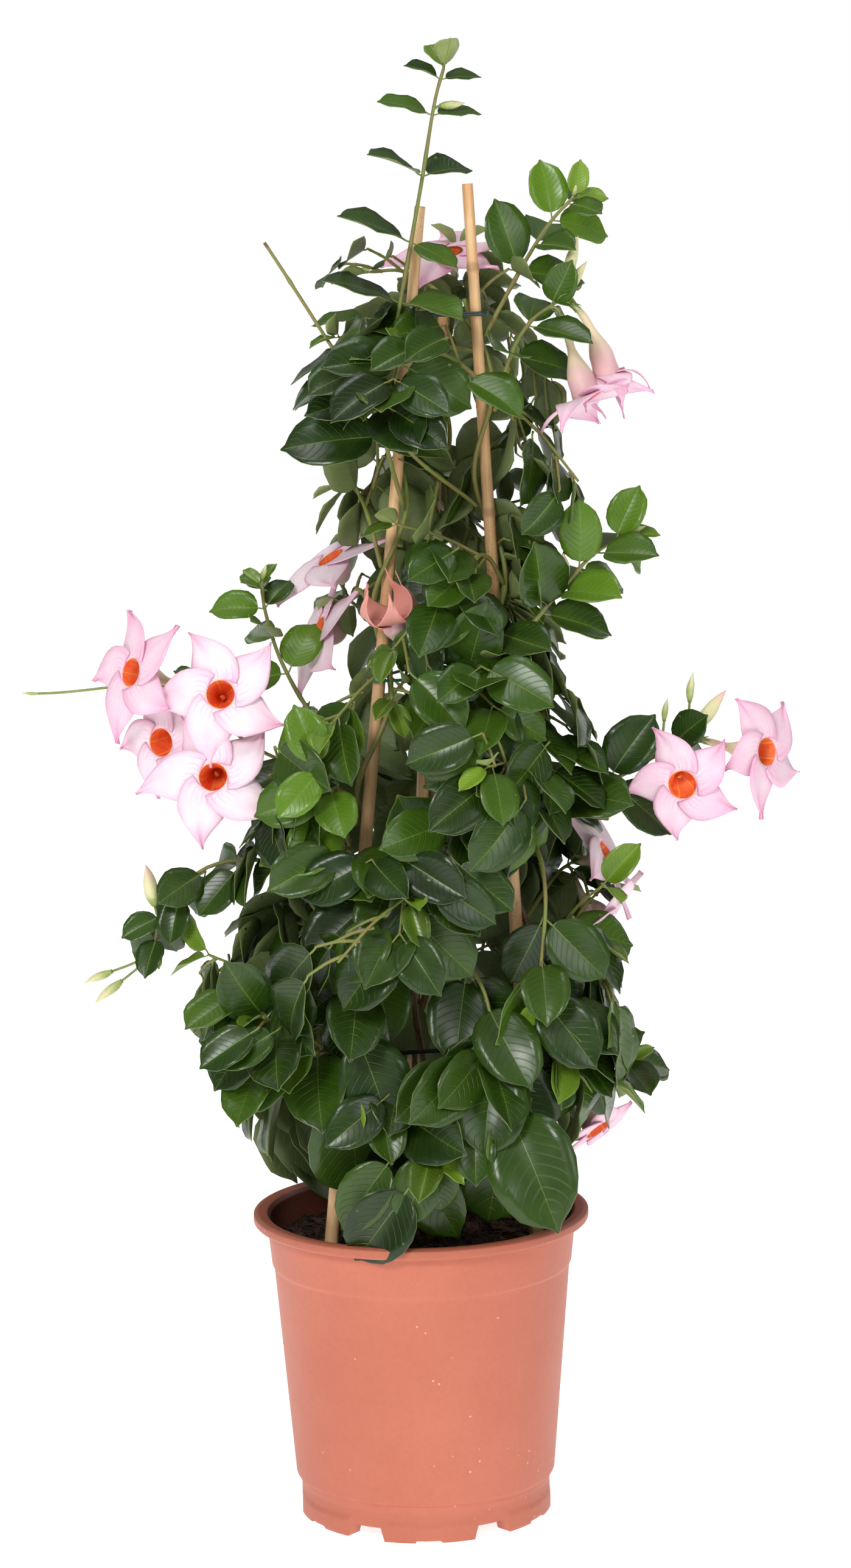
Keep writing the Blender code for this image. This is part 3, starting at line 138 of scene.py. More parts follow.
def tubes(paths, radii, sides, ripples=None):
    # Round limbs. point(turn, step) = path(step) + (side * cos(turn) + other * sin(turn)) * radius(step),
    # where side and other stand square to the path. paths is (limbs, steps, 3) and radii (limbs, steps).
    paths = np.asarray(paths, float)
    radii = np.broadcast_to(np.asarray(radii, float), paths.shape[:2])
    along = unit(np.gradient(paths, axis=1))
    whole = unit(paths[:, -1] - paths[:, 0])
    flat = np.where(np.abs(whole[:, 2:3]) > 0.8, np.array([[1.0, 0.0, 0.0]]), np.array([[0.0, 0.0, 1.0]]))
    side = unit(np.cross(along, flat[:, None, :]))
    other = np.cross(along, side)
    turn = np.linspace(0.0, math.tau, sides, endpoint=False)
    reach = radii[:, :, None] * (1.0 if ripples is None else ripples)
    ring = side[:, :, None] * np.cos(turn)[:, None] + other[:, :, None] * np.sin(turn)[:, None]
    points = paths[:, :, None] + ring * reach[..., None]
    limbs, steps = radii.shape
    share = np.broadcast_to(np.linspace(0.0, 1.0, steps)[None, :, None], reach.shape[:2] + (sides,))
    around = np.broadcast_to(turn / math.tau, share.shape)
    walls = copiesOf(gridFaces(steps, sides, wrap=True), limbs, steps * sides)
    foot = copiesOf(np.arange(sides)[None, ::-1], limbs, steps * sides)
    tip = copiesOf(((steps - 1) * sides + np.arange(sides))[None, :], limbs, steps * sides)
    return points, [walls, foot, tip], np.stack([around, share], axis=-1)


def turnedBody(profile, turns, offset=None):
    # A solid turned about +Z: point(turn, step) = (radius * cos(turn), radius * sin(turn), height).
    # The profile starts and ends on the axis, where one point closes each end. offset(turn, step) is
    # added to (radius, height).
    profile = np.asarray(profile, float)
    radius = np.broadcast_to(profile[1:-1, 0][:, None], (len(profile) - 2, len(turns))).copy()
    height = np.broadcast_to(profile[1:-1, 1][:, None], radius.shape).copy()
    if offset is not None:
        radius, height = offset(turns[None, :], radius, height)
    points = np.stack([radius * np.cos(turns), radius * np.sin(turns), height], axis=-1).reshape(-1, 3)
    ends = np.array([(0.0, 0.0, profile[0, 1]), (0.0, 0.0, profile[-1, 1])])
    columns = len(turns)
    column = np.arange(columns)
    beside = (column + 1) % columns
    last = (len(profile) - 3) * columns
    first = np.stack([np.full(columns, len(points)), beside, column], axis=-1)
    final = np.stack([np.full(columns, len(points) + 1), last + column, last + beside], axis=-1)
    walls = gridFaces(len(profile) - 2, columns, wrap=True)[:, ::-1]
    return np.concatenate([points, ends]), [walls, first[:, ::-1], final[:, ::-1]]


def rounded(corners, radius, steps=4):
    # A profile with its corners rounded: each inner corner becomes a short arc between points a radius back,
    # and a point three radii off on each long side keeps the flat beyond it flat
    corners = np.asarray(corners, float)
    made = [corners[0]]
    for before, corner, after in zip(corners, corners[1:], corners[2:]):
        back, onward = before - corner, after - corner
        reach = min(radius, 0.45 * np.linalg.norm(back), 0.45 * np.linalg.norm(onward))
        start = corner + unit(back) * reach
        end = corner + unit(onward) * reach
        share = np.linspace(0.0, 1.0, steps)[:, None]
        if np.linalg.norm(back) > 8 * radius:
            made.append(corner + unit(back) * 3 * radius)
        made.extend(start * (1 - share) ** 2 + corner * 2 * share * (1 - share) + end * share ** 2)
        if np.linalg.norm(onward) > 8 * radius:
            made.append(corner + unit(onward) * 3 * radius)
    made.append(corners[-1])
    return np.array(made)


def thinBodies(front, thickness):
    # Blades with two sides and a rim. front is (blades, rows, columns, 3); the back stands off it along the
    # grid's own normal by the thickness, and a band of faces joins them all round.
    blades, rows, columns = front.shape[:3]
    lengthwise = np.gradient(front, axis=1)
    crosswise = np.gradient(front, axis=2)
    normal = unit(np.cross(crosswise, lengthwise))
    depth = np.broadcast_to(np.asarray(thickness, float), (blades,))[:, None, None, None]
    back = front - normal * depth
    points = np.stack([front, back], axis=1)
    each = rows * columns
    top = gridFaces(rows, columns)
    index = np.arange(each).reshape(rows, columns)
    rim = np.concatenate([index[0, :-1], index[:-1, -1], index[-1, :0:-1], index[:0:-1, 0]])
    after = np.roll(rim, -1)
    edge = np.stack([after, rim, rim + each, after + each], axis=-1)
    upper = copiesOf(top, blades, 2 * each)
    under = copiesOf(top[:, ::-1] + each, blades, 2 * each)
    return points, upper, under, copiesOf(edge, blades, 2 * each)


# Finishes: node groups for what several materials share, and one function for each material


def addNode(tree, kind, inputs=None, **settings):
    node = tree.nodes.new(kind)
    for key, value in settings.items():
        setattr(node, key, value)
    for key, value in (inputs or {}).items():
        if isinstance(value, bpy.types.NodeSocket):
            tree.links.new(value, node.inputs[key])
        else:
            node.inputs[key].default_value = value
    return node


def newGroup(name, inputs, outputs):
    group = bpy.data.node_groups.new(name, "ShaderNodeTree")
    for title, kind, value in inputs:
        socket = group.interface.new_socket(name=title, in_out="INPUT", socket_type="NodeSocket" + kind)
        if value is not None:
            socket.default_value = value
    for title, kind in outputs:
        group.interface.new_socket(name=title, in_out="OUTPUT", socket_type="NodeSocket" + kind)
    return group, addNode(group, "NodeGroupInput"), addNode(group, "NodeGroupOutput")


def ramp(tree, value, low, high, kind="SMOOTHSTEP"):
    # 0 below low, 1 above high, and smooth between them
    node = addNode(tree, "ShaderNodeMapRange", {0: value, 1: low, 2: high}, interpolation_type=kind)
    return node.outputs[0]


def compute(tree, operation, first, second=0.0):
    return addNode(tree, "ShaderNodeMath", {0: first, 1: second}, operation=operation).outputs[0]


def times(tree, first, second):
    return compute(tree, "MULTIPLY", first, second)


def blendColours(tree, share, first, second):
    return addNode(tree, "ShaderNodeMix", {0: share, 6: first, 7: second}, data_type="RGBA").outputs[2]


def noise(tree, points, scale, detail=2.0):
    inputs = {"Vector": points, "Scale": scale, "Detail": detail}
    return addNode(tree, "ShaderNodeTexNoise", inputs).outputs[0]


def shadeOf(tree):
    # The number that each point of a piece carries
    return addNode(tree, "ShaderNodeAttribute", attribute_name="shade").outputs["Fac"]


def placeOf(tree):
    # Where a point is on its own blade or limb: across or round it, and along it
    return addNode(tree, "ShaderNodeUVMap", uv_map="place").outputs[0]


def unevenGroup():
    # Two colours in soft patches, with finer speckle over them
    group, given, result = newGroup(
        "uneven colour",
        [("Vector", "Vector", None), ("Patch Scale", "Float", 20.0), ("Speckle Scale", "Float", 300.0),
         ("First", "Color", None), ("Second", "Color", None), ("Speckle", "Float", 0.1)],
        [("Colour", "Color"), ("Patch", "Float")])
    patch = addNode(group, "ShaderNodeTexNoise", {"Vector": given.outputs[0], "Scale": given.outputs[1],
                                                  "Detail": 3.0, "Roughness": 0.55})
    speck = noise(group, given.outputs[0], given.outputs[2])
    share = ramp(group, patch.outputs[0], 0.34, 0.66)
    colour = blendColours(group, share, given.outputs[3], given.outputs[4])
    depth = times(group, ramp(group, speck, 0.35, 0.75), given.outputs[5])
    darker = blendColours(group, depth, colour, (0.0, 0.0, 0.0, 1.0))
    group.links.new(darker, result.inputs[0])
    group.links.new(share, result.inputs[1])
    return group


def specksGroup():
    # Small pale specks and scuffs, a few to each patch
    group, given, result = newGroup(
        "pale specks", [("Vector", "Vector", None), ("Scale", "Float", 60.0), ("Size", "Float", 0.08)],
        [("Mask", "Float")])
    cell = addNode(group, "ShaderNodeTexVoronoi", {"Vector": given.outputs[0], "Scale": given.outputs[1]})
    gap = compute(group, "SUBTRACT", given.outputs[2], cell.outputs["Distance"])
    speck = ramp(group, gap, 0.0, 0.04)
    rare = ramp(group, noise(group, given.outputs[0], 13.0, 1.0), 0.56, 0.62)
    group.links.new(times(group, speck, rare), result.inputs[0])
    return group


def veinsGroup():
    # Side veins that leave a midrib at a slant: lines of |across| and along, each a sharpened sine wave
    group, given, result = newGroup(
        "side veins", [("Place", "Vector", None), ("Count", "Float", 10.0), ("Slant", "Float", 3.2)],
        [("Vein", "Float"), ("Across", "Float"), ("Along", "Float")])
    parts = addNode(group, "ShaderNodeSeparateXYZ", {0: given.outputs[0]})
    across = compute(group, "ABSOLUTE", parts.outputs[0])
    bent = compute(group, "POWER", across, 1.35)
    phase = compute(group, "SUBTRACT", times(group, parts.outputs[1], given.outputs[1]),
                  times(group, bent, given.outputs[2]))
    wave = compute(group, "SINE", times(group, phase, math.tau))
    fade = compute(group, "SUBTRACT", 1.0, ramp(group, across, 0.55, 1.0))
    vein = times(group, ramp(group, wave, 0.80, 1.0), fade)
    group.links.new(vein, result.inputs[0])
    group.links.new(across, result.inputs[1])
    group.links.new(parts.outputs[1], result.inputs[2])
    return group


uneven = unevenGroup()
specks = specksGroup()
veins = veinsGroup()


def newMaterial(name, roughness, **settings):
    # A material with its shader, and the places that its patterns are laid on
    material = bpy.data.materials.new(name)
    material.use_nodes = True
    tree = material.node_tree
    shader = tree.nodes["Principled BSDF"]
    shader.inputs["Roughness"].default_value = roughness
    for key, value in settings.items():
        shader.inputs[key.replace("_", " ")].default_value = value
    solid = addNode(tree, "ShaderNodeTexCoord").outputs["Object"]
    return material, tree, shader, solid


def useGroup(tree, group, inputs):
    return addNode(tree, "ShaderNodeGroup", inputs, node_tree=group)


def inPatches(tree, points, patch, fine, speckle, first, second):
    # Two colours in patches of one scale, with speckle of a finer one
    return useGroup(tree, uneven, {"Vector": points, "Patch Scale": patch, "Speckle Scale": fine,
                                   "Speckle": speckle, "First": first, "Second": second})


def paint(tree, shader, colour):
    tree.links.new(colour, shader.inputs["Base Color"])


def rgb(red, green, blue):
    return (red, green, blue, 1.0)


def dimmed(colour, share):
    return tuple(min(share * value, 1.0) for value in colour[:3]) + (1.0,)


def varyRoughness(tree, shader, pattern, low, high):
    rough = addNode(tree, "ShaderNodeMapRange", {0: pattern, 3: low, 4: high})
    tree.links.new(rough.outputs[0], shader.inputs["Roughness"])


def bumpFrom(tree, shader, height, depth, strength=1.0):
    bump = addNode(tree, "ShaderNodeBump", {"Height": height, "Distance": depth, "Strength": strength})
    tree.links.new(bump.outputs[0], shader.inputs["Normal"])


def plainMaterial(name, first, second, roughness, patch=60.0, speckle=0.12, relief=0.0002, fine=900.0,
                  **settings):
    # Two close colours in patches, fine speckle, and a fine relief
    material, tree, shader, solid = newMaterial(name, roughness, **settings)
    paint(tree, shader, inPatches(tree, solid, patch, 8 * patch, speckle, first, second).outputs["Colour"])
    bumpFrom(tree, shader, noise(tree, solid, fine), relief)
    return material


# Stage, light and camera

cameraSettings = {"place": (0.0087, -2.83, 0.95), "tiltDown": 8.514, "roll": -1.026, "lens": 93.06}
stageSettings = {"reach": 60.0, "sunk": 0.0002, "white": 0.90, "glow": 0.80}
lampSettings = {
    "key": {"place": (-1.0, -2.7, 2.1), "aim": (0.0, 0.0, 0.55), "size": 0.9, "power": 50.0},
    "fill": {"place": (1.7, -2.4, 1.5), "aim": (0.0, 0.0, 0.50), "size": 1.1, "power": 15.0},
    "top": {"place": (-0.2, -0.3, 3.0), "aim": (0.0, 0.0, 0.5), "size": 1.3, "power": 20.0},
    "rearLeft": {"place": (-1.8, 2.4, 1.9), "aim": (0.0, 0.0, 0.6), "size": 1.3, "power": 8.0},
    "rearRight": {"place": (1.9, 2.2, 1.7), "aim": (0.0, 0.0, 0.6), "size": 1.3, "power": 8.0},
}
skyStrength = {"seen": 1.0, "level": 0.10, "overhead": 0.34}


def makeCamera(settings):
    data = bpy.data.cameras.new("camera")
    data.lens = settings["lens"]
    data.sensor_width = 36.0
    data.clip_end = 200.0
    camera = bpy.data.objects.new("camera", data)
    bpy.context.scene.collection.objects.link(camera)
    camera.matrix_world = (Matrix.Translation(settings["place"])
                           @ Matrix.Rotation(math.radians(90.0 - settings["tiltDown"]), 4, "X")
                           @ Matrix.Rotation(math.radians(settings["roll"]), 4, "Z"))
    bpy.context.scene.camera = camera


def makeLamp(name, settings):
    data = bpy.data.lights.new(name, "AREA")
    data.shape = "DISK"
    data.size = settings["size"]
    data.energy = settings["power"]
    lamp = bpy.data.objects.new(name, data)
    bpy.context.scene.collection.objects.link(lamp)
    place = Vector(settings["place"])
    facing = (Vector(settings["aim"]) - place).to_track_quat("-Z", "Y")
    lamp.matrix_world = Matrix.Translation(place) @ facing.to_matrix().to_4x4()


def makeStage(settings):
    # A flat pale floor, a hair under the feet
    reach, level = settings["reach"], -settings["sunk"]
    mesh = bpy.data.meshes.new("floor")
    corners = [(-reach, -reach, level), (reach, -reach, level), (reach, reach, level), (-reach, reach, level)]
    mesh.from_pydata(corners, [], [(0, 1, 2, 3)])
    floor = bpy.data.objects.new("floor", mesh)
    bpy.context.scene.collection.objects.link(floor)
    material, _, shader, _ = newMaterial("pale floor", 0.9)
    white = settings["white"]
    shader.inputs["Base Color"].default_value = rgb(white, white, white)
    shader.inputs["Emission Color"].default_value = rgb(1.0, 1.0, 1.0)
    shader.inputs["Emission Strength"].default_value = settings["glow"]
    shader.inputs["Specular IOR Level"].default_value = 0.1
    mesh.materials.append(material)


def makeSky(settings):
    # White where it is seen, and dimmer as a light, so that the leaves keep their depth
    world = bpy.data.worlds.new("sky")
    bpy.context.scene.world = world
    world.use_nodes = True
    tree = world.node_tree
    seen = addNode(tree, "ShaderNodeLightPath").outputs["Is Camera Ray"]
    around = addNode(tree, "ShaderNodeTexCoord").outputs["Generated"]
    way = addNode(tree, "ShaderNodeSeparateXYZ", {0: around})
    cast = addNode(tree, "ShaderNodeMapRange", {0: way.outputs[2], 1: 0.1, 2: 0.9,
                                                3: settings["level"], 4: settings["overhead"]})
    strength = addNode(tree, "ShaderNodeMix", {0: seen, 2: cast.outputs[0], 3: settings["seen"]},
                       data_type="FLOAT")
    background = tree.nodes["Background"]
    background.inputs["Color"].default_value = rgb(1.0, 1.0, 1.0)
    tree.links.new(strength.outputs[0], background.inputs["Strength"])


makeCamera(cameraSettings)
for lampName, lampPlace in lampSettings.items():
    makeLamp(lampName, lampPlace)
makeStage(stageSettings)
makeSky(skyStrength)
bpy.context.scene.view_settings.view_transform = "Standard"
print("camera, light and floor made")


# Pot: a moulded container with a rolled lip, a stepped band, a heel and six feet

potSize = {
    "rimRadius": 0.120, "height": 0.220, "lipDepth": 0.008, "lipRound": 0.0015,
    "bandRadius": 0.1098, "bandFootRadius": 0.1074, "bandDepth": 0.038, "bodyRadius": 0.1060,
    "heelRadius": 0.0932, "heelHeight": 0.028, "baseRadius": 0.0905, "floorUnder": 0.0100, "floorTop": 0.0120,
    "wall": 0.0020, "footCount": 6, "footDepth": 0.013, "footGap": 0.023, "footHeight": 0.0094,
    "footTurn": math.radians(-88.5), "notchWidth": 0.019, "notchHeight": 0.0015, "footSlope": 0.0032,
    "panelRaise": 0.0010, "turnSteps": 240, "round": 0.0009, "lineDepth": 0.0042, "lineWidth": 0.0006,
    "lineRaise": 0.0004,
}


def potTurns(size):
    # Even steps round the pot, with close pairs where the feet and their notches start and end
    even = np.linspace(0.0, math.tau, size["turnSteps"], endpoint=False)
    close = []
    for foot in range(size["footCount"]):
        middle = size["footTurn"] + math.tau * foot / size["footCount"]
        half = math.pi / size["footCount"]
        gapHalf = 0.5 * size["footGap"] / size["baseRadius"]
        slope = size["footSlope"] / size["baseRadius"]
        notchHalf = 0.5 * size["notchWidth"] / size["baseRadius"]
        for side in (-1, 1):
            for reach in (half - gapHalf + slope, half - gapHalf, half - gapHalf - slope):
                close.append(middle + side * reach)
            close += [middle + side * notchHalf, middle + side * (notchHalf + 0.006)]
    near = np.array(close) % math.tau
    far = [turn for turn in even if np.abs((near - turn + math.pi) % math.tau - math.pi).min() > 0.008]
    return np.sort(np.concatenate([near, far]))


def footShare(turns, size):
    # How far each turn is from the middle of its foot, as a length round the base
    step = math.tau / size["footCount"]
    return np.abs((turns - size["footTurn"] + step / 2) % step - step / 2) * size["baseRadius"]


def makePot(size):
    top = size["height"]
    wall = size["wall"]
    bandFoot = top - size["bandDepth"]
    names = ("bandRadius", "bandFootRadius", "bodyRadius", "heelRadius", "baseRadius")
    band, bandLow, body, heel, base = (size[key] for key in names)
    lip = size["lipRound"]
    rim = size["rimRadius"]
    corners = [
        (0.0, size["floorTop"]), (base - wall, size["floorTop"]), (base - wall, size["heelHeight"] - wall),
        (heel - wall, size["heelHeight"] + wall), (body - wall, bandFoot), (bandLow - wall, bandFoot + wall),
        (band - wall, top - 0.004),
        (band + 0.0005, top - 0.0008), (rim - 2.2 * lip, top), (rim, top - 0.9 * lip),
        (rim, top - size["lipDepth"] + lip), (rim - lip, top - size["lipDepth"]),
        (band + 2 * lip, top - size["lipDepth"] + 0.0006), (band + 0.0006, top - size["lipDepth"] - lip),
        (bandLow, bandFoot), (body, bandFoot - lip), (heel, size["heelHeight"]),
        (base, size["heelHeight"] - wall), (base, size["heelHeight"] - 2.4 * wall),
    ]
    upper = rounded(corners, size["round"])
    # A fine moulded line round the lip
    raised = np.exp(-((upper[:, 1] - (top - size["lineDepth"])) / size["lineWidth"]) ** 2)
    upper[:, 0] += size["lineRaise"] * raised * (upper[:, 0] > rim - 0.0005)
    levels = np.linspace(upper[-1, 1], 0.0, 12)[1:]
    outer = np.stack([np.full(len(levels), base), levels], axis=-1)
    inner = np.array([(base - 0.0012, 0.0), (base - size["footDepth"], 0.0),
                      (base - size["footDepth"], size["floorUnder"]), (0.0, size["floorUnder"])])
    profile = np.concatenate([upper, outer, inner])
    turns = potTurns(size)
    half = math.pi / size["footCount"] * base
    gapEdge = half - size["footGap"] / 2

    def feet(turn, radius, height):
        # The ring under the heel is lifted to the foot height in the gaps, and its wall stands out on
        # the feet
        share = footShare(turn, size)
        gap = np.clip((share - gapEdge + size["footSlope"]) / size["footSlope"], 0.0, 1.0)
        notch = (share < size["notchWidth"] / 2) * size["notchHeight"]
        bottom = np.where(gap > 0, gap * size["footHeight"], notch)
        isRing = radius > base - size["footDepth"] - 0.0001
        low = isRing & (height < size["heelHeight"] - 2.5 * wall)
        shareDown = 1.0 - height / levels[0]
        height = np.where(low, levels[0] * (1 - shareDown) + bottom * shareDown, height)
        onFoot = smoothStep((gapEdge - share) / 0.002)
        onFoot = onFoot * smoothStep((size["footHeight"] + 0.004 - height) / 0.0012)
        outerWall = low & (radius > base - 0.0005)
        radius = radius + np.where(outerWall, size["panelRaise"] * (onFoot - 1.0), 0.0)
        return radius, height

    points, faceSets = turnedBody(profile, turns, feet)
    # shade is 1 on the inner wall, which is every point before the profile reaches the lip; the material
    # paints shade there
    isInner = np.arange(len(profile)) < np.argmax(profile[:, 0] > band + 0.0002)
    shade = np.concatenate([np.repeat(isInner[1:-1], len(turns)), (1.0, 0.0)])
    surfaces = Surfaces()
    surfaces.add(points, faceSets, shade=shade)
    return surfaces.piece("potBody", [terracottaPlastic()], "pot", ["pot"])


def terracottaPlastic():
    material, tree, shader, solid = newMaterial("terracotta plastic", 0.50)
    tint = inPatches(tree, solid, 9.0, 260.0, 0.05, rgb(0.540, 0.146, 0.082), rgb(0.580, 0.166, 0.098))
    level = addNode(tree, "ShaderNodeSeparateXYZ", {0: solid}).outputs[2]
    # The lip is browner, with compost dust on it; the heel is a little dusty too
    lip = ramp(tree, level, potSize["height"] - 0.0095, potSize["height"] - 0.0065)
    dusty = blendColours(tree, times(tree, lip, 0.38), tint.outputs[0], rgb(0.330, 0.085, 0.040))
    heel = times(tree, compute(tree, "SUBTRACT", 1.0, ramp(tree, level, 0.002, 0.045)), 0.22)
    lower = blendColours(tree, heel, dusty, rgb(0.480, 0.165, 0.105))
    # Inside the pot the plastic is darkened on the inner wall: painted shade
    inside = shadeOf(tree)
    paintedShadeInside = blendColours(tree, times(tree, inside, 0.75), lower, rgb(0.130, 0.028, 0.018))
    speck = useGroup(tree, specks, {"Vector": solid, "Scale": 95.0, "Size": 0.10})
    marked = blendColours(tree, times(tree, speck.outputs[0], 0.55), paintedShadeInside, rgb(0.86, 0.55, 0.45))
    paint(tree, shader, marked)
    varyRoughness(tree, shader, noise(tree, solid, 26.0, 4.0), 0.44, 0.60)
    bumpFrom(tree, shader, noise(tree, solid, 1400.0, 1.0), 0.00008)
    return material


makePot(potSize)
print("pot made")


# Compost: a filled body whose top is crumbled, with lumps and fibres lying on it

compostSize = {"edge": 0.199, "middle": 0.205, "gap": 0.0003, "crumble": 0.0022, "sunk": 0.0022,
               "turnSteps": 120, "acrossSteps": 40}
lumpSize = {"count": 620, "radius": (0.0008, 0.0030), "margin": 0.006, "uneven": 0.35, "rings": 5, "sides": 7}
fibreSize = {"count": 900, "radius": (0.00012, 0.00035), "length": (0.005, 0.017), "margin": 0.010,
             "edge": 0.004, "above": 0.0012, "bend": 0.9, "lift": 0.45, "steps": 6, "sides": 4}
barkSize = {"count": 34, "length": (0.006, 0.015), "width": (0.003, 0.006), "margin": 0.022, "tilt": 0.35,
            "above": 0.0016, "thickness": 0.0012, "curl": 0.0012, "chipped": 0.25, "steps": 5}


def compostLevel(points, size):
    # The top falls from the middle to the edge, with crumbs of three sizes
    reach = np.hypot(points[..., 0], points[..., 1]) / potSize["bandRadius"]
    flat = points * np.array([1.0, 1.0, 0.0])
    crumbs = 0.5 * ripple(flat, 0.035, 3) + 0.35 * ripple(flat, 0.012, 4) + 0.3 * ripple(flat, 0.005, 5)
    return mix(size["middle"], size["edge"], reach ** 2) - size["sunk"] + size["crumble"] * crumbs


def makeCompost(size):
    inner = potSize["wall"] + size["gap"]
    bandFoot = potSize["height"] - potSize["bandDepth"]
    bandLow = bandFoot + potSize["wall"]
    share = (size["edge"] - bandLow) / (potSize["height"] - potSize["lipRound"] - bandLow)
    band = mix(potSize["bandFootRadius"], potSize["bandRadius"], share) - inner
    top = [(radius, size["edge"]) for radius in np.linspace(0.0, band, size["acrossSteps"])]
    below = [(potSize["bandFootRadius"] - inner, bandLow + size["gap"]),
             (potSize["bodyRadius"] - inner, bandFoot + size["gap"]),
             (potSize["heelRadius"] - inner, potSize["heelHeight"] + potSize["wall"]),
             (potSize["baseRadius"] - inner, potSize["heelHeight"] - potSize["wall"]),
             (potSize["baseRadius"] - inner, potSize["floorTop"] + size["gap"]),
             (0.0, potSize["floorTop"] + size["gap"])]
    turns = np.linspace(0.0, math.tau, size["turnSteps"], endpoint=False)
    points, faceSets = turnedBody(top + below, turns)
    isTop = points[:, 2] > size["edge"] - 0.0001
    points[isTop, 2] = compostLevel(points[isTop], size)
    surfaces = Surfaces()
    surfaces.add(points, faceSets)
    looks = [peat("dark compost", rgb(0.040, 0.020, 0.013), rgb(0.016, 0.009, 0.006))]
    surfaces.piece("compost", looks, "compost", ["soil"])


def scattered(dice, size):
    # Middles spread evenly over the compost, a margin in from the wall
    turn = dice.uniform(0, math.tau, size["count"])
    reach = (potSize["bandRadius"] - size["margin"]) * np.sqrt(dice.uniform(0, 1, size["count"]))
    return np.stack([reach * np.cos(turn), reach * np.sin(turn), np.zeros(size["count"])], axis=-1)


def makeLumps(size):
    # Each lump is a small ball of rings, point = middle + direction * reach * (1 + unevenness)
    dice = np.random.default_rng(11)
    count, sides = size["count"], size["sides"]
    middles = scattered(dice, size)
    middles[:, 2] = compostLevel(middles, compostSize)
    rise = np.linspace(-0.5, 0.5, size["rings"])[:, None] * math.pi * 0.96
    turn = np.linspace(0, math.tau, sides, endpoint=False)[None, :]
    ball = [np.cos(rise) * np.cos(turn), np.cos(rise) * np.sin(turn), np.sin(rise) + 0 * turn]
    ball = np.stack(ball, axis=-1).reshape(-1, 3)
    reach = 1.0 + size["uneven"] * dice.uniform(-1, 1, (count, len(ball), 1))
    spread = dice.uniform(*size["radius"], (count, 1, 1)) * dice.uniform(0.6, 1.5, (count, 1, 3))
    points = middles[:, None] + ball[None] * reach * spread
    walls = copiesOf(gridFaces(size["rings"], sides, wrap=True), count, len(ball))
    foot = copiesOf(np.arange(sides)[None, ::-1], count, len(ball))
    top = copiesOf((len(ball) - sides + np.arange(sides))[None, :], count, len(ball))
    surfaces = Surfaces()
    surfaces.add(points, [walls, foot, top], shade=np.repeat(dice.uniform(0, 1, count), len(ball)))
    look = peat("peat lumps", rgb(0.060, 0.030, 0.018), rgb(0.018, 0.010, 0.007))
    surfaces.piece("compostLumps", [look], "compost")


def makeFibres(size):
    # Each fibre is a thin bent limb that lies on the compost, its ends a little up
    dice = np.random.default_rng(12)
    count = size["count"]
    middles = scattered(dice, size)
    way, length = dice.uniform(0, math.tau, count), dice.uniform(*size["length"], count)
    bend = dice.uniform(-size["bend"], size["bend"], count)
    lift = dice.uniform(0.0, size["lift"], count)
    share = np.linspace(-0.5, 0.5, size["steps"])
    swing = way[:, None] + bend[:, None] * share
    offset = np.stack([np.cos(swing) * share, np.sin(swing) * share, 0 * swing], axis=-1)
    paths = middles[:, None] + offset * length[:, None, None]
    edge = potSize["bandRadius"] - size["edge"]
    paths[..., :2] *= np.minimum(1.0, edge / np.hypot(paths[..., 0], paths[..., 1]))[..., None]
    paths[..., 2] = compostLevel(paths, compostSize) + size["above"]
    paths[..., 2] += (lift * length)[:, None] * (share + 0.5) ** 2
    radii = dice.uniform(*size["radius"], count)[:, None] * (1.0 - 1.2 * share ** 2)[None, :]
    points, faceSets, place = tubes(paths, radii, size["sides"])
    surfaces = Surfaces()
    surfaces.add(points, faceSets, place, np.repeat(dice.uniform(0, 1, count), size["steps"] * size["sides"]))
    look = peat("peat fibre", rgb(0.200, 0.105, 0.060), rgb(0.060, 0.030, 0.020))
    surfaces.piece("compostFibres", [look], "compost")


def makeBark(size):
    # Flat curled flakes of bark among the peat: thin blades bent across
    dice = np.random.default_rng(13)
    count, steps = size["count"], size["steps"]
    middles = scattered(dice, size)
    middles[:, 2] = compostLevel(middles, compostSize) + size["above"]
    way = dice.uniform(0, math.tau, count)
    length, width = dice.uniform(*size["length"], count), dice.uniform(*size["width"], count)
    tilt = dice.uniform(-size["tilt"], size["tilt"], (count, 2))
    v, u = np.meshgrid(np.linspace(-1, 1, steps), np.linspace(-1, 1, steps), indexing="ij")
    along = np.stack([np.cos(way), np.sin(way), tilt[:, 0]], axis=-1)[:, None, None]
    across = np.stack([-np.sin(way), np.cos(way), tilt[:, 1]], axis=-1)[:, None, None]
    chip = 1.0 + size["chipped"] * dice.uniform(-1, 1, (count, steps, steps))
    front = (middles[:, None, None] + along * (v[None] * length[:, None, None] * chip)[..., None]
             + across * (u[None] * width[:, None, None] * chip)[..., None])
    front[..., 2] -= size["curl"] * u[None] ** 2
    points, upper, under, edge = thinBodies(front, size["thickness"])
    surfaces = Surfaces()
    surfaces.add(points, [upper[:, ::-1], under[:, ::-1], edge[:, ::-1]])
    look = peat("bark flakes", rgb(0.130, 0.060, 0.034), rgb(0.045, 0.022, 0.014))
    surfaces.piece("barkFlakes", [look], "compost")


def peat(name, light, dark):
    return plainMaterial(name, light, dark, 0.92, patch=130.0, speckle=0.45, relief=0.0009, fine=700.0,
                         Specular_IOR_Level=0.25)


makeCompost(compostSize)
makeLumps(lumpSize)
makeFibres(fibreSize)
makeBark(barkSize)
print("compost made")


# Canes: bamboo, thicker at each knot, with a scar line above and below it

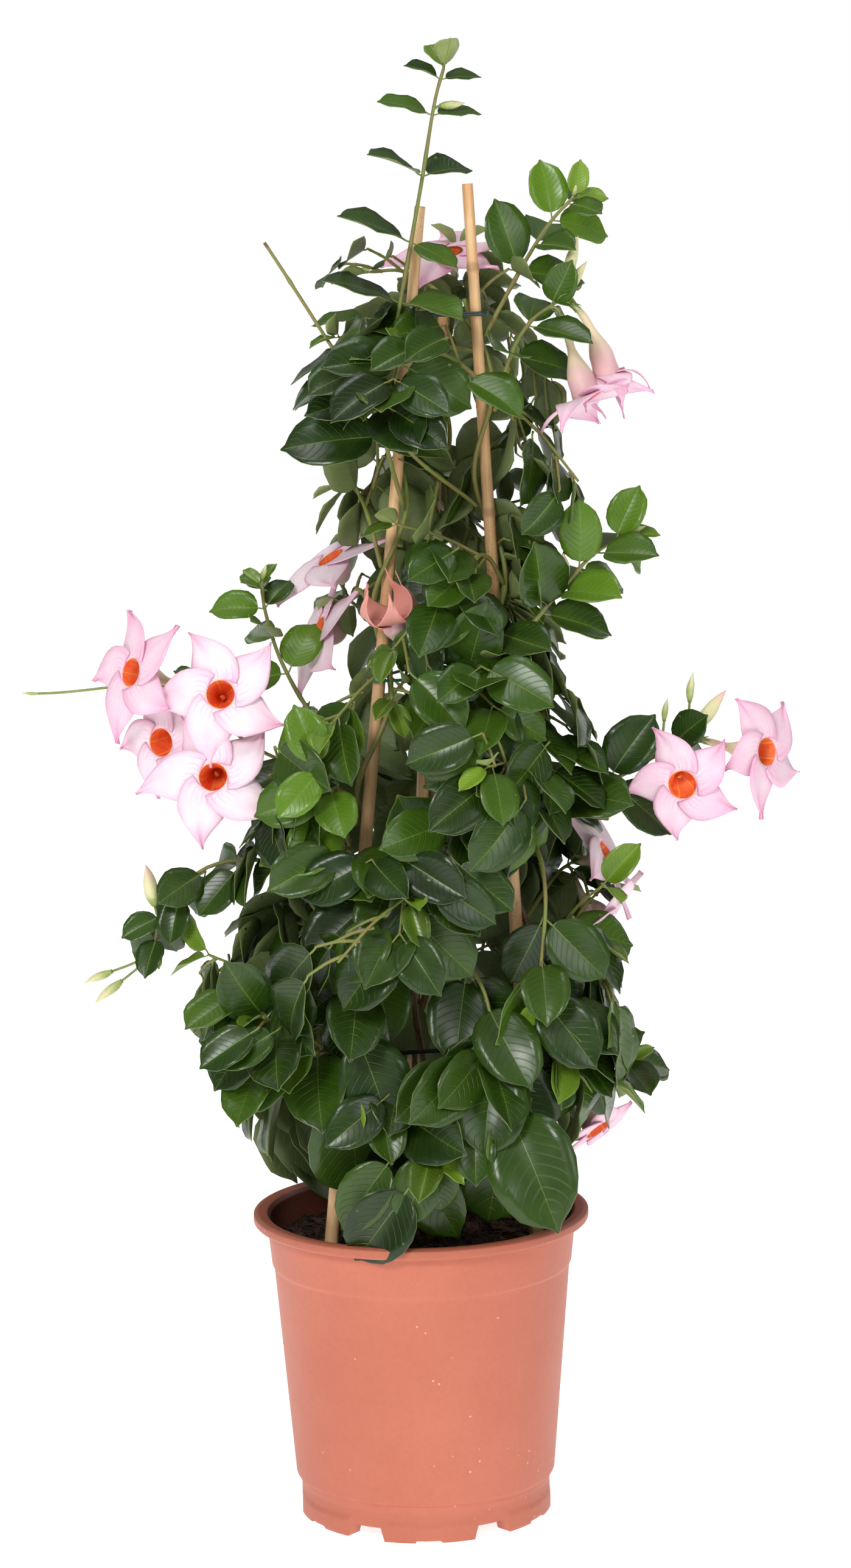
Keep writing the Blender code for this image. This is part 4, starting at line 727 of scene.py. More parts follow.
canes = {
    "cane_left": {"foot": (-0.064, -0.052, 0.203), "top": (0.012, 0.000, 0.930), "firstKnot": 0.12},
    "cane_right": {"foot": (0.082, -0.018, 0.203), "top": (0.045, -0.002, 0.945), "firstKnot": 0.05},
    "cane_back": {"foot": (-0.012, 0.080, 0.203), "top": (0.028, 0.027, 0.870), "firstKnot": 0.16},
}
caneSize = {"radius": 0.0050, "topRadius": 0.0038, "swell": 0.0007, "swellLength": 0.0035, "groove": 0.35,
            "grooveLength": 0.0009, "flats": 0.02, "dents": 0.012, "knotSpacing": 0.17, "sunk": 0.045,
            "sides": 20, "steps": 420}


def caneAxis(name):
    return (Vector(canes[name]["top"]) - Vector(canes[name]["foot"])).normalized()


def canePoint(name, height):
    foot = Vector(canes[name]["foot"])
    top = Vector(canes[name]["top"])
    return foot.lerp(top, (height - foot.z) / (top.z - foot.z))


def caneMiddle(height):
    return sum((canePoint(name, height) for name in canes), Vector()) / len(canes)


def makeCane(name, size):
    # Radius = taper + swell * bell curve at each knot - groove beside it + slight flats between knots
    spec = canes[name]
    foot = np.array(Vector(spec["foot"]) - caneAxis(name) * size["sunk"])
    top = np.array(spec["top"])
    length = float(np.linalg.norm(top - foot))
    share = np.linspace(0.0, 1.0, size["steps"])
    path = foot + (top - foot) * share[:, None]
    run = share * length
    knots = np.arange(spec["firstKnot"], length, size["knotSpacing"])
    away = run[:, None] - knots[None, :]
    swell = size["swell"] * np.exp(-(away / size["swellLength"]) ** 2).sum(axis=1)
    beside = (away + size["swellLength"]) / size["grooveLength"]
    groove = size["groove"] * size["swell"] * np.exp(-beside ** 2).sum(axis=1)
    radius = mix(size["radius"], size["topRadius"], share) + swell - groove
    turn = np.linspace(0.0, math.tau, size["sides"], endpoint=False)
    flats = 1.0 + size["flats"] * np.sin(2 * turn[None, :] + 9.0 * share[:, None])
    flats = flats + size["dents"] * np.sin(5 * turn[None, :] + 1.0)
    points, faceSets, place = tubes(path[None], radius[None], size["sides"], flats[None])
    nearKnot = np.exp(-((away - 0.001) / 0.0045) ** 2).max(axis=1)
    surfaces = Surfaces()
    surfaces.add(points, faceSets, place, np.repeat(nearKnot, size["sides"]))
    surfaces.piece(name.replace("_", "") + "Bamboo", [bamboo()], "bamboo", [name])


def bamboo():
    found = bpy.data.materials.get("bamboo skin")
    if found:
        return found
    material, tree, shader, solid = newMaterial("bamboo skin", 0.42)
    stretched = addNode(tree, "ShaderNodeMapping", {"Vector": solid, "Scale": (1.0, 1.0, 0.035)})
    streak = inPatches(tree, stretched.outputs[0], 420.0, 1500.0, 0.12,
                       rgb(0.730, 0.420, 0.190), rgb(0.790, 0.520, 0.270))
    blotch = times(tree, ramp(tree, noise(tree, solid, 24.0, 4.0), 0.45, 0.70), 0.6)
    warm = blendColours(tree, blotch, streak.outputs[0], rgb(0.600, 0.290, 0.115))
    knot = shadeOf(tree)
    scar = times(tree, ramp(tree, knot, 0.25, 0.95), 0.55)
    scarred = blendColours(tree, scar, warm, rgb(0.270, 0.120, 0.050))
    spots = useGroup(tree, specks, {"Vector": solid, "Scale": 330.0, "Size": 0.22})
    spotted = blendColours(tree, times(tree, spots.outputs[0], 0.5), scarred, rgb(0.230, 0.110, 0.050))
    paint(tree, shader, spotted)
    bumpFrom(tree, shader, streak.outputs["Patch"], 0.00012)
    return material


for caneName in canes:
    makeCane(caneName, caneSize)
print("canes made")


# Ties: wire and strap pulled round the three canes, and a wire hook

ties = {
    "hoop_low": {"height": 0.342, "radius": 0.0016, "colour": rgb(0.012, 0.018, 0.016), "roughness": 0.35},
    "hoop_middle": {"height": 0.474, "radius": 0.0016, "colour": rgb(0.012, 0.018, 0.016), "roughness": 0.35},
    "wire_ring": {"height": 0.604, "radius": 0.0011, "colour": rgb(0.010, 0.270, 0.110), "roughness": 0.30},
    "tie_top": {"height": 0.856, "radius": 0.0016, "colour": rgb(0.014, 0.040, 0.040), "roughness": 0.40},
}
tieSize = {"gap": 0.0008, "cornerSteps": 16, "straightSteps": 10, "sides": 12}
endSize = {"length": 0.013, "topLength": 0.008, "steps": 30, "sides": 8, "wind": 14.0, "apart": 1.05}
hookSize = {"height": 0.286, "radius": 0.0012, "reach": 0.011, "arch": 0.004, "turn": (150.0, -130.0),
            "loopSteps": 40, "tailSteps": 24, "sides": 10}


def tiePath(name):
    # Round the outside of each cane in turn, and straight between them
    spec = ties[name]
    height = spec["height"]
    middle = caneMiddle(height)
    centres = sorted((canePoint(cane, height) for cane in canes),
                     key=lambda centre: math.atan2(centre.y - middle.y, centre.x - middle.x))
    reach = caneSize["radius"] + caneSize["swell"] + spec["radius"] + tieSize["gap"]
    corners = []
    for index, centre in enumerate(centres):
        into = centre - centres[index - 1]
        outOf = centres[(index + 1) % len(centres)] - centre
        start = math.atan2(into.y, into.x) - math.pi / 2
        sweep = (math.atan2(outOf.y, outOf.x) - math.pi / 2 - start) % math.tau
        corners.append([centre + heading(start + sweep * step / (tieSize["cornerSteps"] - 1)) * reach
                        for step in range(tieSize["cornerSteps"])])
    path = []
    for index, corner in enumerate(corners):
        onward = corners[(index + 1) % len(corners)][0]
        path += corner
        path += [corner[-1].lerp(onward, step / tieSize["straightSteps"])
                 for step in range(1, tieSize["straightSteps"])]
    return np.array(path)


def ringTube(path, radius, sides, flatten=1.0):
    # A closed limb: side stands outward in the level plane and up is its other direction
    onward, back = np.roll(path, -1, axis=0), np.roll(path, 1, axis=0)
    along = unit(onward - back)
    side = unit(np.cross(along, np.array([0.0, 0.0, 1.0])))
    other = np.cross(along, side)
    turn = np.linspace(0.0, math.tau, sides, endpoint=False)
    ring = (side[:, None] * np.cos(turn)[:, None] * flatten + other[:, None] * np.sin(turn)[:, None]) * radius
    points = path[:, None] + ring
    count = len(path)
    row, column = np.meshgrid(np.arange(count), np.arange(sides), indexing="ij")
    after, beside = (row + 1) % count, (column + 1) % sides
    corners = (row * sides + column, row * sides + beside, after * sides + beside, after * sides + column)
    return points, [np.stack(corners, axis=-1).reshape(-1, 4)]


def twistedEnds(start, away, radius):
    # Two wire ends wound round each other: a helix of two strands about a short line, cut at the tip
    share = np.linspace(0.0, 1.0, endSize["steps"])
    line = np.array(start) + np.array(away)[None, :] * share[:, None]
    direction = unit(np.array(away, float))
    side = unit(np.cross(direction, np.array([0.0, 0.0, 1.0])))
    other = np.cross(direction, side)
    strands = []
    for phase in (0.0, math.pi):
        wind = phase + share * endSize["wind"]
        reach = (side * np.cos(wind)[:, None] + other * np.sin(wind)[:, None]) * radius * endSize["apart"]
        strands.append(line + reach)
    return tubes(np.array(strands), radius, endSize["sides"])


def makeTie(name):
    spec = ties[name]
    path = tiePath(name)
    surfaces = Surfaces()
    surfaces.add(*ringTube(path, spec["radius"], tieSize["sides"], 0.55 if name == "tie_top" else 1.0))
    out = path[np.argmin(path[:, 1])]
    length = endSize["topLength"] if name == "tie_top" else endSize["length"]
    start = out + np.array([0.0, -1.2 * spec["radius"], 0.0])
    away = (0.35 * length, -0.5 * length, 0.8 * length)
    surfaces.add(*twistedEnds(start, away, 0.5 * spec["radius"])[:2])
    colour = spec["colour"]
    look = plainMaterial(name.replace("_", " "), colour, dimmed(colour, 0.7), spec["roughness"],
                         patch=200.0, relief=0.0001, Coat_Weight=0.25)
    slot = "wire" if name == "wire_ring" else "tie"
    surfaces.piece(name.replace("_", "") + "Loop", [look], slot, [name])


def makeHook(size):
    # Most of a turn round the left cane, then an arched tail
    centre = canePoint("cane_left", size["height"])
    reach = caneSize["radius"] + caneSize["swell"] + size["radius"] + tieSize["gap"]
    turn = np.radians(np.linspace(*size["turn"], size["loopSteps"]))
    loop = np.array(centre) + np.stack([np.cos(turn), np.sin(turn), 0 * turn], axis=-1) * reach
    share = np.linspace(0.04, 1.0, size["tailSteps"])[:, None]
    tail = [-size["reach"] * share, -size["arch"] * share, size["arch"] * np.sin(math.pi * share)]
    path = np.concatenate([loop, loop[-1] + np.concatenate(tail, axis=1)])
    surfaces = Surfaces()
    surfaces.add(*tubes(path[None], size["radius"], size["sides"])[:2])
    look = plainMaterial("hook coating", rgb(0.045, 0.085, 0.075), rgb(0.030, 0.060, 0.055), 0.4,
                         Coat_Weight=0.2)
    surfaces.piece("hookWire", [look], "tie", ["hook"])


for tieName in ties:
    makeTie(tieName)
makeHook(hookSize)
print("ties made")


# Vines: woody below and green above, each twined up its cane

vines = {
    "vine_left": {"cane": "cane_left", "base": (-0.018, -0.012), "top": 0.800},
    "vine_right": {"cane": "cane_right", "base": (0.024, -0.008), "top": 0.866},
    "vine_back": {"cane": "cane_back", "base": (0.002, 0.022), "top": 0.800},
    "vine_middle": {"cane": None, "base": (0.006, -0.026), "top": 0.740},
}
vineSize = {"radius": 0.0026, "topRadius": 0.0015, "step": 0.020, "base": 0.200, "slack": 0.0018,
            "twineStart": 0.343, "pitch": 0.131, "sway": 0.008, "sunk": 0.004, "firstNode": 0.03,
            "nodeSpacing": 0.062, "swell": 0.22, "swellLength": 0.0030, "greenFrom": 0.40, "greenFade": 0.22,
            "ridges": 0.07, "bark": 0.05, "barkGrain": 0.006, "sides": 14, "steps": 400}
cutVine = {"vine": "vine_right", "root": 0.722, "through": ((-0.012, -0.034, 0.779), (-0.096, 0.0, 0.907)),
           "radius": 0.0013, "nodesAt": (0.30, 0.62, 0.90), "swell": 0.35, "swellLength": 0.008,
           "woodFrom": 0.985, "steps": 120, "sides": 10}
twigSize = {"radius": 0.0024, "tipRadius": 0.0018, "shootTipRadius": 0.0010,
            "clear": 0.0003, "rootMargin": 0.15}


def vineRadius(name, height):
    share = (height - vineSize["base"]) / (vines[name]["top"] - vineSize["base"])
    return mix(vineSize["radius"], vineSize["topRadius"], share)


def vinePoint(name, height):
    # Out of the compost, then round its cane, or up inside the three
    spec = vines[name]
    share = float(smoothStep((height - vineSize["base"]) / (vineSize["twineStart"] - vineSize["base"])))
    middle = caneMiddle(height)
    if spec["cane"] is None:
        sway = vineSize["sway"] * math.sin(math.tau * (height - vineSize["base"]) / vineSize["pitch"] / 2)
        aim = Vector((middle.x - 0.004 + sway, middle.y - 0.002, height))
    else:
        centre = canePoint(spec["cane"], height)
        inward = math.atan2(middle.y - centre.y, middle.x - centre.x)
        turn = inward + math.tau * max(height - vineSize["twineStart"], 0.0) / vineSize["pitch"]
        reach = caneSize["radius"] + vineRadius(name, height) + vineSize["slack"]
        aim = centre + heading(turn) * reach
    return Vector((*spec["base"], height)).lerp(aim, share)


def makeVines():
    # Bark relief: ridges along the stem below, smooth above, and a swelling at each leaf node
    surfaces = Surfaces()
    size = vineSize
    for name, spec in vines.items():
        heights = np.linspace(size["base"] - size["sunk"], spec["top"], size["steps"])
        path = np.array([vinePoint(name, height) for height in heights])
        radii = np.array([vineRadius(name, height) for height in heights])
        nodes = np.arange(size["base"] + size["firstNode"], spec["top"], size["nodeSpacing"])
        away = (heights[:, None] - nodes[None, :]) / size["swellLength"]
        swell = size["swell"] * np.exp(-away ** 2).sum(axis=1)
        woody = 1.0 - smoothStep((heights - size["greenFrom"]) / size["greenFade"])
        turn = np.linspace(0.0, math.tau, size["sides"], endpoint=False)
        ridges = size["ridges"] * woody[:, None] * np.sin(5 * turn[None, :] + 60.0 * heights[:, None])
        ridges += size["bark"] * woody[:, None] * ripple(path, size["barkGrain"], 8)[:, None]
        relief = 1.0 + swell[:, None] + ridges
        points, faceSets, place = tubes(path[None], radii[None], size["sides"], relief[None])
        surfaces.add(points, faceSets, place, np.repeat(woody, size["sides"]))
    surfaces.piece("vineStems", [vineSkin()], "vine", list(vines))


def vineSkin():
    found = bpy.data.materials.get("vine skin")
    if found:
        return found
    material, tree, shader, solid = newMaterial("vine skin", 0.50)
    stretched = addNode(tree, "ShaderNodeMapping", {"Vector": solid, "Scale": (1.0, 1.0, 0.12)})
    wood = inPatches(tree, stretched.outputs[0], 300.0, 1300.0, 0.30,
                     rgb(0.230, 0.120, 0.060), rgb(0.115, 0.055, 0.030))
    green = inPatches(tree, solid, 45.0, 900.0, 0.12, rgb(0.185, 0.225, 0.045), rgb(0.240, 0.200, 0.055))
    age = compute(tree, "ADD", shadeOf(tree), times(tree, noise(tree, solid, 30.0), 0.5))
    paint(tree, shader, blendColours(tree, ramp(tree, age, 0.55, 0.95), green.outputs[0], wood.outputs[0]))
    bumpFrom(tree, shader, wood.outputs["Patch"], 0.00015)
    return material


# Growth: the rule that grew the frame's foliage, written again. Where there were several ways to set
# a stem or a leaf, the one that stands is found by the corner it left in the frame's node.

massSettings = {"count": 24, "lowest": 0.285, "highest": 0.885, "crowding": 1.15,
                "firstAzimuth": math.radians(255), "rootLimit": 0.862, "azimuthStep": math.radians(9),
                "rootStep": 0.011, "stemAttempts": 14, "leafAttempts": 8, "leafTurnStep": 0.34,
                "shootCount": 3, "shootLength": 0.066, "shootPairs": (0.92, 0.64, 0.36),
                "stemPairs": (0.94, 0.60), "stemArch": 0.018, "stemPoints": 4, "sprayPoints": 2,
                "shootsAt": (0.45, 0.95), "shootRise": (0.35, 0.85), "shootLean": (0.3, 0.8),
                "shootVaries": (0.75, 1.15), "leafGrows": (0.85, 0.95, 1.0)}
lowFoliage = {"leaf": 0.082, "droop": 1.00, "face_up": 0.15, "reach": 0.76}
highFoliage = {"leaf": 0.056, "droop": 0.35, "face_up": 0.50, "reach": 0.62}
leafSize = {"arch": 0.16, "spread": 0.45, "outward": 0.40, "turnVaries": 0.25, "lengthVaries": (0.88, 1.10),
            "tiltVaries": 0.12, "shrinks": 0.045, "sags": 0.07}

# The outline that the leaves keep to: height, middle in X and radius
crown = (
    (0.200, 0.004, 0.130),
    (0.255, 0.004, 0.132),
    (0.300, 0.000, 0.152),
    (0.360, 0.001, 0.164),
    (0.420, 0.005, 0.158),
    (0.480, 0.003, 0.144),
    (0.530, 0.018, 0.138),
    (0.590, 0.011, 0.114),
    (0.640, 0.015, 0.104),
    (0.720, 0.022, 0.102),
    (0.830, 0.012, 0.100),
    (0.885, 0.018, 0.086),
    (0.935, 0.032, 0.056),
)
crownForward = 0.005  # by which its middle stands in front of the pot's


def bud(at, tip, radius):
    return {"at": at, "tip": tip, "radius": radius}


def flower(at, throat, facing, radius):
    return {"at": at, "throat": throat, "facing": facing, "radius": radius}


# Sprays that stand out of the crown, each from a vine through the points given to its tip
sprays = {
    "leader": {
        "vine": "vine_left", "root": None, "leaf": 0.062, "tipLeaf": 0.030, "pairs": 5, "first": 0.27,
        "turn": 90, "step": 0.0, "droop": 0.10, "look": (0.0, -0.42, 0.91),
        "through": ((-0.004, -0.024, 0.860), (0.009, -0.014, 0.921), (0.021, -0.004, 0.990),
                    (0.030, 0.0, 1.024)),
        "buds": (bud(1.0, (0.033, 0.0, 1.041), 0.0035), bud(0.80, (0.044, 0.002, 1.000), 0.0030)),
    },
    "flowers_low": {
        "vine": "vine_right", "root": 0.430, "leaf": 0.060, "tipLeaf": 0.050, "pairs": 2, "first": 0.35,
        "turn": 40, "droop": 0.50, "look": (0.5, -0.5, 0.7),
        "through": ((0.100, 0.046, 0.450), (0.112, 0.056, 0.458)),
        "flowers": (flower(1.00, (0.138, 0.036, 0.468), (0.86, -0.22, 0.46), 0.040),
                    flower(0.80, (0.136, 0.034, 0.418), (0.76, -0.22, -0.60), 0.042)),
    },
    "flowers_left": {
        "vine": "vine_left", "root": 0.545, "leaf": 0.050, "tipLeaf": 0.040, "pairs": 2, "first": 0.35,
        "turn": 20, "droop": 0.30, "look": (-0.2, -0.6, 0.75),
        "through": ((-0.095, -0.004, 0.545), (-0.150, 0.010, 0.588)),
        "buds": (bud(1.0, (-0.274, 0.0, 0.596), 0.0012),),
        "flowers": (flower(1.00, (-0.195, -0.030, 0.613), (-0.75, -0.60, 0.25), 0.044),
                    flower(0.90, (-0.132, -0.050, 0.599), (-0.15, -0.95, 0.20), 0.048),
                    flower(0.84, (-0.138, -0.060, 0.543), (-0.10, -0.92, 0.38), 0.050),
                    flower(0.96, (-0.176, -0.020, 0.562), (-0.55, -0.80, 0.05), 0.040)),
    },
    "shoot_left": {
        "vine": "vine_left", "root": 0.560, "leaf": 0.046, "tipLeaf": 0.030, "pairs": 4, "first": 0.45,
        "turn": 60, "droop": 0.10, "look": (-0.1, -0.75, 0.65),
        "through": ((-0.078, 0.010, 0.585), (-0.100, 0.018, 0.640), (-0.104, 0.020, 0.668)),
        "buds": (bud(1.0, (-0.101, 0.020, 0.682), 0.0022),),
    },
    "buds_left": {
        "vine": "vine_left", "root": 0.415, "leaf": 0.046, "tipLeaf": 0.034, "pairs": 5, "first": 0.40,
        "turn": 35, "droop": 0.45, "look": (-0.2, -0.85, 0.45),
        "through": ((-0.110, 0.004, 0.478), (-0.172, 0.010, 0.448), (-0.186, 0.014, 0.412)),
        "buds": (bud(1.0, (-0.238, 0.016, 0.384), 0.0030), bud(1.0, (-0.230, 0.008, 0.371), 0.0034),
                 bud(0.80, (-0.190, -0.010, 0.474), 0.0050)),
    },
    "flowers_right": {
        "vine": "vine_right", "root": 0.520, "leaf": 0.070, "tipLeaf": 0.052, "pairs": 3, "first": 0.25,
        "turn": 10, "droop": 0.20, "look": (0.1, -0.8, 0.6),
        "through": ((0.125, -0.012, 0.522), (0.190, -0.008, 0.556)),
        "buds": (bud(0.98, (0.198, -0.006, 0.603), 0.0028), bud(0.85, (0.180, -0.004, 0.585), 0.0022),
                 bud(1.0, (0.221, -0.006, 0.590), 0.0050)),
        "flowers": (flower(0.85, (0.188, -0.030, 0.527), (-0.25, -0.90, -0.05), 0.039),
                    flower(1.00, (0.250, 0.0, 0.545), (0.72, -0.66, 0.10), 0.042)),
    },
    "shoot_right": {
        "vine": "vine_right", "root": 0.600, "leaf": 0.056, "tipLeaf": 0.040, "pairs": 5, "first": 0.40,
        "turn": 75, "droop": 0.10, "look": (0.1, -0.7, 0.7),
        "through": ((0.084, -0.030, 0.640), (0.118, -0.022, 0.680), (0.150, -0.004, 0.700)),
        "buds": (bud(0.55, (0.107, -0.034, 0.691), 0.0048), bud(1.0, (0.166, 0.0, 0.706), 0.0024)),
    },
    "flowers_top": {
        "vine": "vine_right", "root": 0.800, "leaf": 0.052, "tipLeaf": 0.040, "pairs": 3, "first": 0.30,
        "turn": 70, "droop": 0.30, "look": (0.3, -0.6, 0.7),
        "through": ((0.080, -0.012, 0.842), (0.104, -0.006, 0.862)),
        "buds": (bud(1.0, (0.121, -0.004, 0.908), 0.0042), bud(1.0, (0.127, 0.004, 0.890), 0.0038)),
        "flowers": (flower(0.90, (0.126, -0.012, 0.797), (0.36, -0.20, -0.90), 0.041),
                    flower(1.00, (0.140, 0.004, 0.812), (0.24, 0.10, -0.96), 0.022)),
    },
    "shoot_top": {
        "vine": "vine_right", "root": 0.840, "leaf": 0.052, "tipLeaf": 0.034, "pairs": 4, "first": 0.40,
        "turn": 75, "droop": 0.10, "look": (0.1, -0.75, 0.65),
        "through": ((0.076, 0.012, 0.876), (0.098, 0.012, 0.912), (0.118, 0.010, 0.934)),
        "buds": (bud(1.0, (0.121, 0.010, 0.944), 0.0022),),
    },
    "flower_peak": {
        "vine": "vine_back", "root": None, "leaf": 0.056, "tipLeaf": 0.050, "pairs": 4, "first": 0.25,
        "turn": 15, "droop": 0.25, "look": (0.0, 0.6, 0.8),
        "through": ((0.032, 0.050, 0.840), (0.036, 0.060, 0.870), (0.038, 0.058, 0.900)),
        "flowers": (flower(0.75, (0.032, 0.044, 0.898), (-0.15, -0.35, 0.92), 0.044),),
    },
    "flowers_behind": {
        "vine": "vine_back", "root": 0.620, "leaf": 0.054, "tipLeaf": 0.046, "pairs": 2, "first": 0.30,
        "turn": 30, "droop": 0.35, "look": (-0.4, 0.4, 0.8),
        "through": ((-0.030, 0.076, 0.640), (-0.050, 0.090, 0.660)),
        "buds": (bud(0.9, (-0.040, 0.060, 0.735), 0.0036),),
        "flowers": (flower(1.00, (-0.056, 0.044, 0.684), (-0.50, -0.20, 0.84), 0.041),
                    flower(0.90, (-0.066, 0.046, 0.632), (-0.88, -0.25, 0.38), 0.042)),
    },
    "leaves_front": {
        "vine": "vine_middle", "root": 0.385, "leaf": 0.068, "tipLeaf": 0.094, "pairs": 4, "first": 0.35,
        "turn": 0, "droop": 1.70, "look": (0.0, -1.0, 0.1),
        "through": ((0.036, -0.064, 0.411), (0.052, -0.090, 0.368), (0.060, -0.104, 0.309)),
    },
    "bloom_spent": {
        "vine": "vine_left", "root": 0.590, "leaf": 0.050, "tipLeaf": 0.050, "pairs": 1, "first": 0.5,
        "turn": 0, "droop": 0.60, "look": (0.0, -0.8, 0.6),
        "through": ((-0.016, -0.040, 0.592), (-0.006, -0.046, 0.604)),
        "flowers": (flower(1.00, (-0.012, -0.046, 0.648), (-0.25, -0.20, 0.95), 0.019),),
    },
    "shoot_front": {
        "vine": "vine_right", "root": 0.480, "leaf": 0.058, "tipLeaf": 0.066, "pairs": 3, "first": 0.60,
        "turn": 20, "droop": 0.80, "look": (0.1, -0.9, 0.3),
        "through": ((0.088, -0.064, 0.486), (0.088, -0.078, 0.430), (0.082, -0.084, 0.384)),
    },
    "shoot_low": {
        "vine": "vine_right", "root": 0.345, "leaf": 0.046, "tipLeaf": 0.044, "pairs": 2, "first": 0.55,
        "turn": 85, "droop": 0.25, "look": (0.2, -0.6, 0.75),
        "through": ((0.118, 0.020, 0.318), (0.150, 0.012, 0.322)),
        "flowers": (flower(0.60, (0.130, 0.050, 0.262), (0.55, -0.45, -0.70), 0.030),),
    },
    "leaves_peak": {
        "vine": "vine_left", "root": 0.745, "leaf": 0.066, "tipLeaf": 0.056, "pairs": 4, "first": 0.30,
        "turn": 15, "droop": 0.55, "look": (-0.2, -0.85, 0.5),
        "through": ((-0.016, -0.052, 0.782), (-0.009, -0.060, 0.808), (-0.003, -0.058, 0.829)),
    },
    "leaves_upper": {
        "vine": "vine_middle", "root": 0.600, "leaf": 0.064, "tipLeaf": 0.060, "pairs": 3, "first": 0.40,
        "turn": 10, "droop": 0.60, "look": (0.0, -0.9, 0.45),
        "through": ((0.030, -0.050, 0.598), (0.052, -0.066, 0.619)),
    },
    "leaves_mid": {
        "vine": "vine_left", "root": 0.480, "leaf": 0.068, "tipLeaf": 0.046, "pairs": 4, "first": 0.28,
        "turn": 20, "droop": 0.70, "look": (-0.1, -0.95, 0.3),
        "through": ((-0.051, -0.062, 0.518), (-0.064, -0.094, 0.555)),
    },
    "leaves_centre": {
        "vine": "vine_middle", "root": 0.465, "leaf": 0.066, "tipLeaf": 0.060, "pairs": 3, "first": 0.35,
        "turn": 70, "droop": 0.90, "look": (0.1, -0.95, 0.3),
        "through": ((0.012, -0.066, 0.487), (0.029, -0.088, 0.516)),
    },
    "leaves_left": {
        "vine": "vine_left", "root": 0.345, "leaf": 0.070, "tipLeaf": 0.066, "pairs": 4, "first": 0.35,
        "turn": 15, "droop": 0.75, "look": (-0.3, -0.85, 0.45),
        "through": ((-0.067, -0.058, 0.344), (-0.092, -0.076, 0.368), (-0.107, -0.086, 0.379)),
    },
    "leaves_low": {
        "vine": "vine_middle", "root": 0.405, "leaf": 0.066, "tipLeaf": 0.090, "pairs": 4, "first": 0.30,
        "turn": 15, "droop": 1.30, "look": (0.1, -0.95, 0.3),
        "through": ((-0.034, -0.060, 0.411), (-0.043, -0.086, 0.380), (-0.048, -0.096, 0.324)),
    },
}


def smoothPath(points, count):
    # Points along a smooth curve through the given ones (Catmull-Rom)
    ends = [points[0] * 2 - points[1]] + list(points) + [points[-1] * 2 - points[-2]]
    path = []
    for index in range(count):
        place = index / (count - 1) * (len(points) - 1)
        part = min(int(place), len(points) - 2)
        share = place - part
        before, start, end, after = ends[part:part + 4]
        path.append(0.5 * (2 * start + (end - before) * share
                           + (2 * before - 5 * start + 4 * end - after) * share ** 2
                           + (3 * start - before - 3 * end + after) * share ** 3))
    return path


def sprayRoot(vineName, height, toward):
    # The point just clear of a vine's side, on the side that faces a place, or of its top end
    radius = twigSize["radius"]
    if height is None:
        top = vines[vineName]["top"]
        end = vinePoint(vineName, top)
        along = (end - vinePoint(vineName, top - vineSize["step"])).normalized()
        slant = along.cross((toward - end).normalized()).length
        return end + along * (twigSize["clear"] + radius * (slant + twigSize["rootMargin"]))
    centre = vinePoint(vineName, height)
    away = toward - centre
    slant = abs(away.normalized().z)
    away.z = 0.0
    reach = vineRadius(vineName, height) + twigSize["clear"] + radius * (slant + twigSize["rootMargin"])
    return centre + away.normalized() * reach


def crownAt(height):
    for lower, upper in zip(crown, crown[1:]):
        if height <= upper[0]:
            share = max(height - lower[0], 0.0) / (upper[0] - lower[0])
            return mix(lower[1], upper[1], share), mix(lower[2], upper[2], share)
    return crown[-1][1], 0.0


def isInCrown(point):
    middle, radius = crownAt(point.z)
    return math.hypot(point.x - middle, point.y + crownForward) < radius


def outwardAt(point):
    middle = crownAt(min(point.z, crown[-1][0]))[0]
    away = Vector((point.x - middle, point.y, 0.0))
    return away.normalized() if away.length > 0.001 else heading(0.0)


def pathAt(path, share):
    place = min(max(share, 0.0), 1.0) * (len(path) - 1)
    part = min(int(place), len(path) - 2)
    return path[part].lerp(path[part + 1], place - part)


def pathHeading(path, share):
    return (pathAt(path, share + 0.1) - pathAt(path, share - 0.1)).normalized()


def leafFrame(point, along, turn, spec):
    # A leaf's axis and normal: sideways from its shoot, outward and down, facing up and out
    level = along.cross(up)
    level = level.normalized() if level.length > 0.01 else Vector((1, 0, 0))
    rise = level.cross(along)
    side = level * math.cos(turn) + rise * math.sin(turn)
    outward = outwardAt(point)
    axis = side + along * leafSize["spread"] + outward * leafSize["outward"] - up * spec["droop"]
    axis.normalize()
    if spec["bounded"]:
        normal = up * spec["face_up"] + outward * (1.0 - spec["face_up"])
    else:
        normal = Vector(spec["look"])
    normal = normal - axis * normal.dot(axis)
    if normal.length < 0.05:
        normal = along - axis * along.dot(axis)
    return axis, normal.normalized()


def swing(attempt):
    # 0, -1, 1, -2, 2 and so on, the order in which ways are tried
    return math.ceil(attempt / 2) * (-1) ** attempt


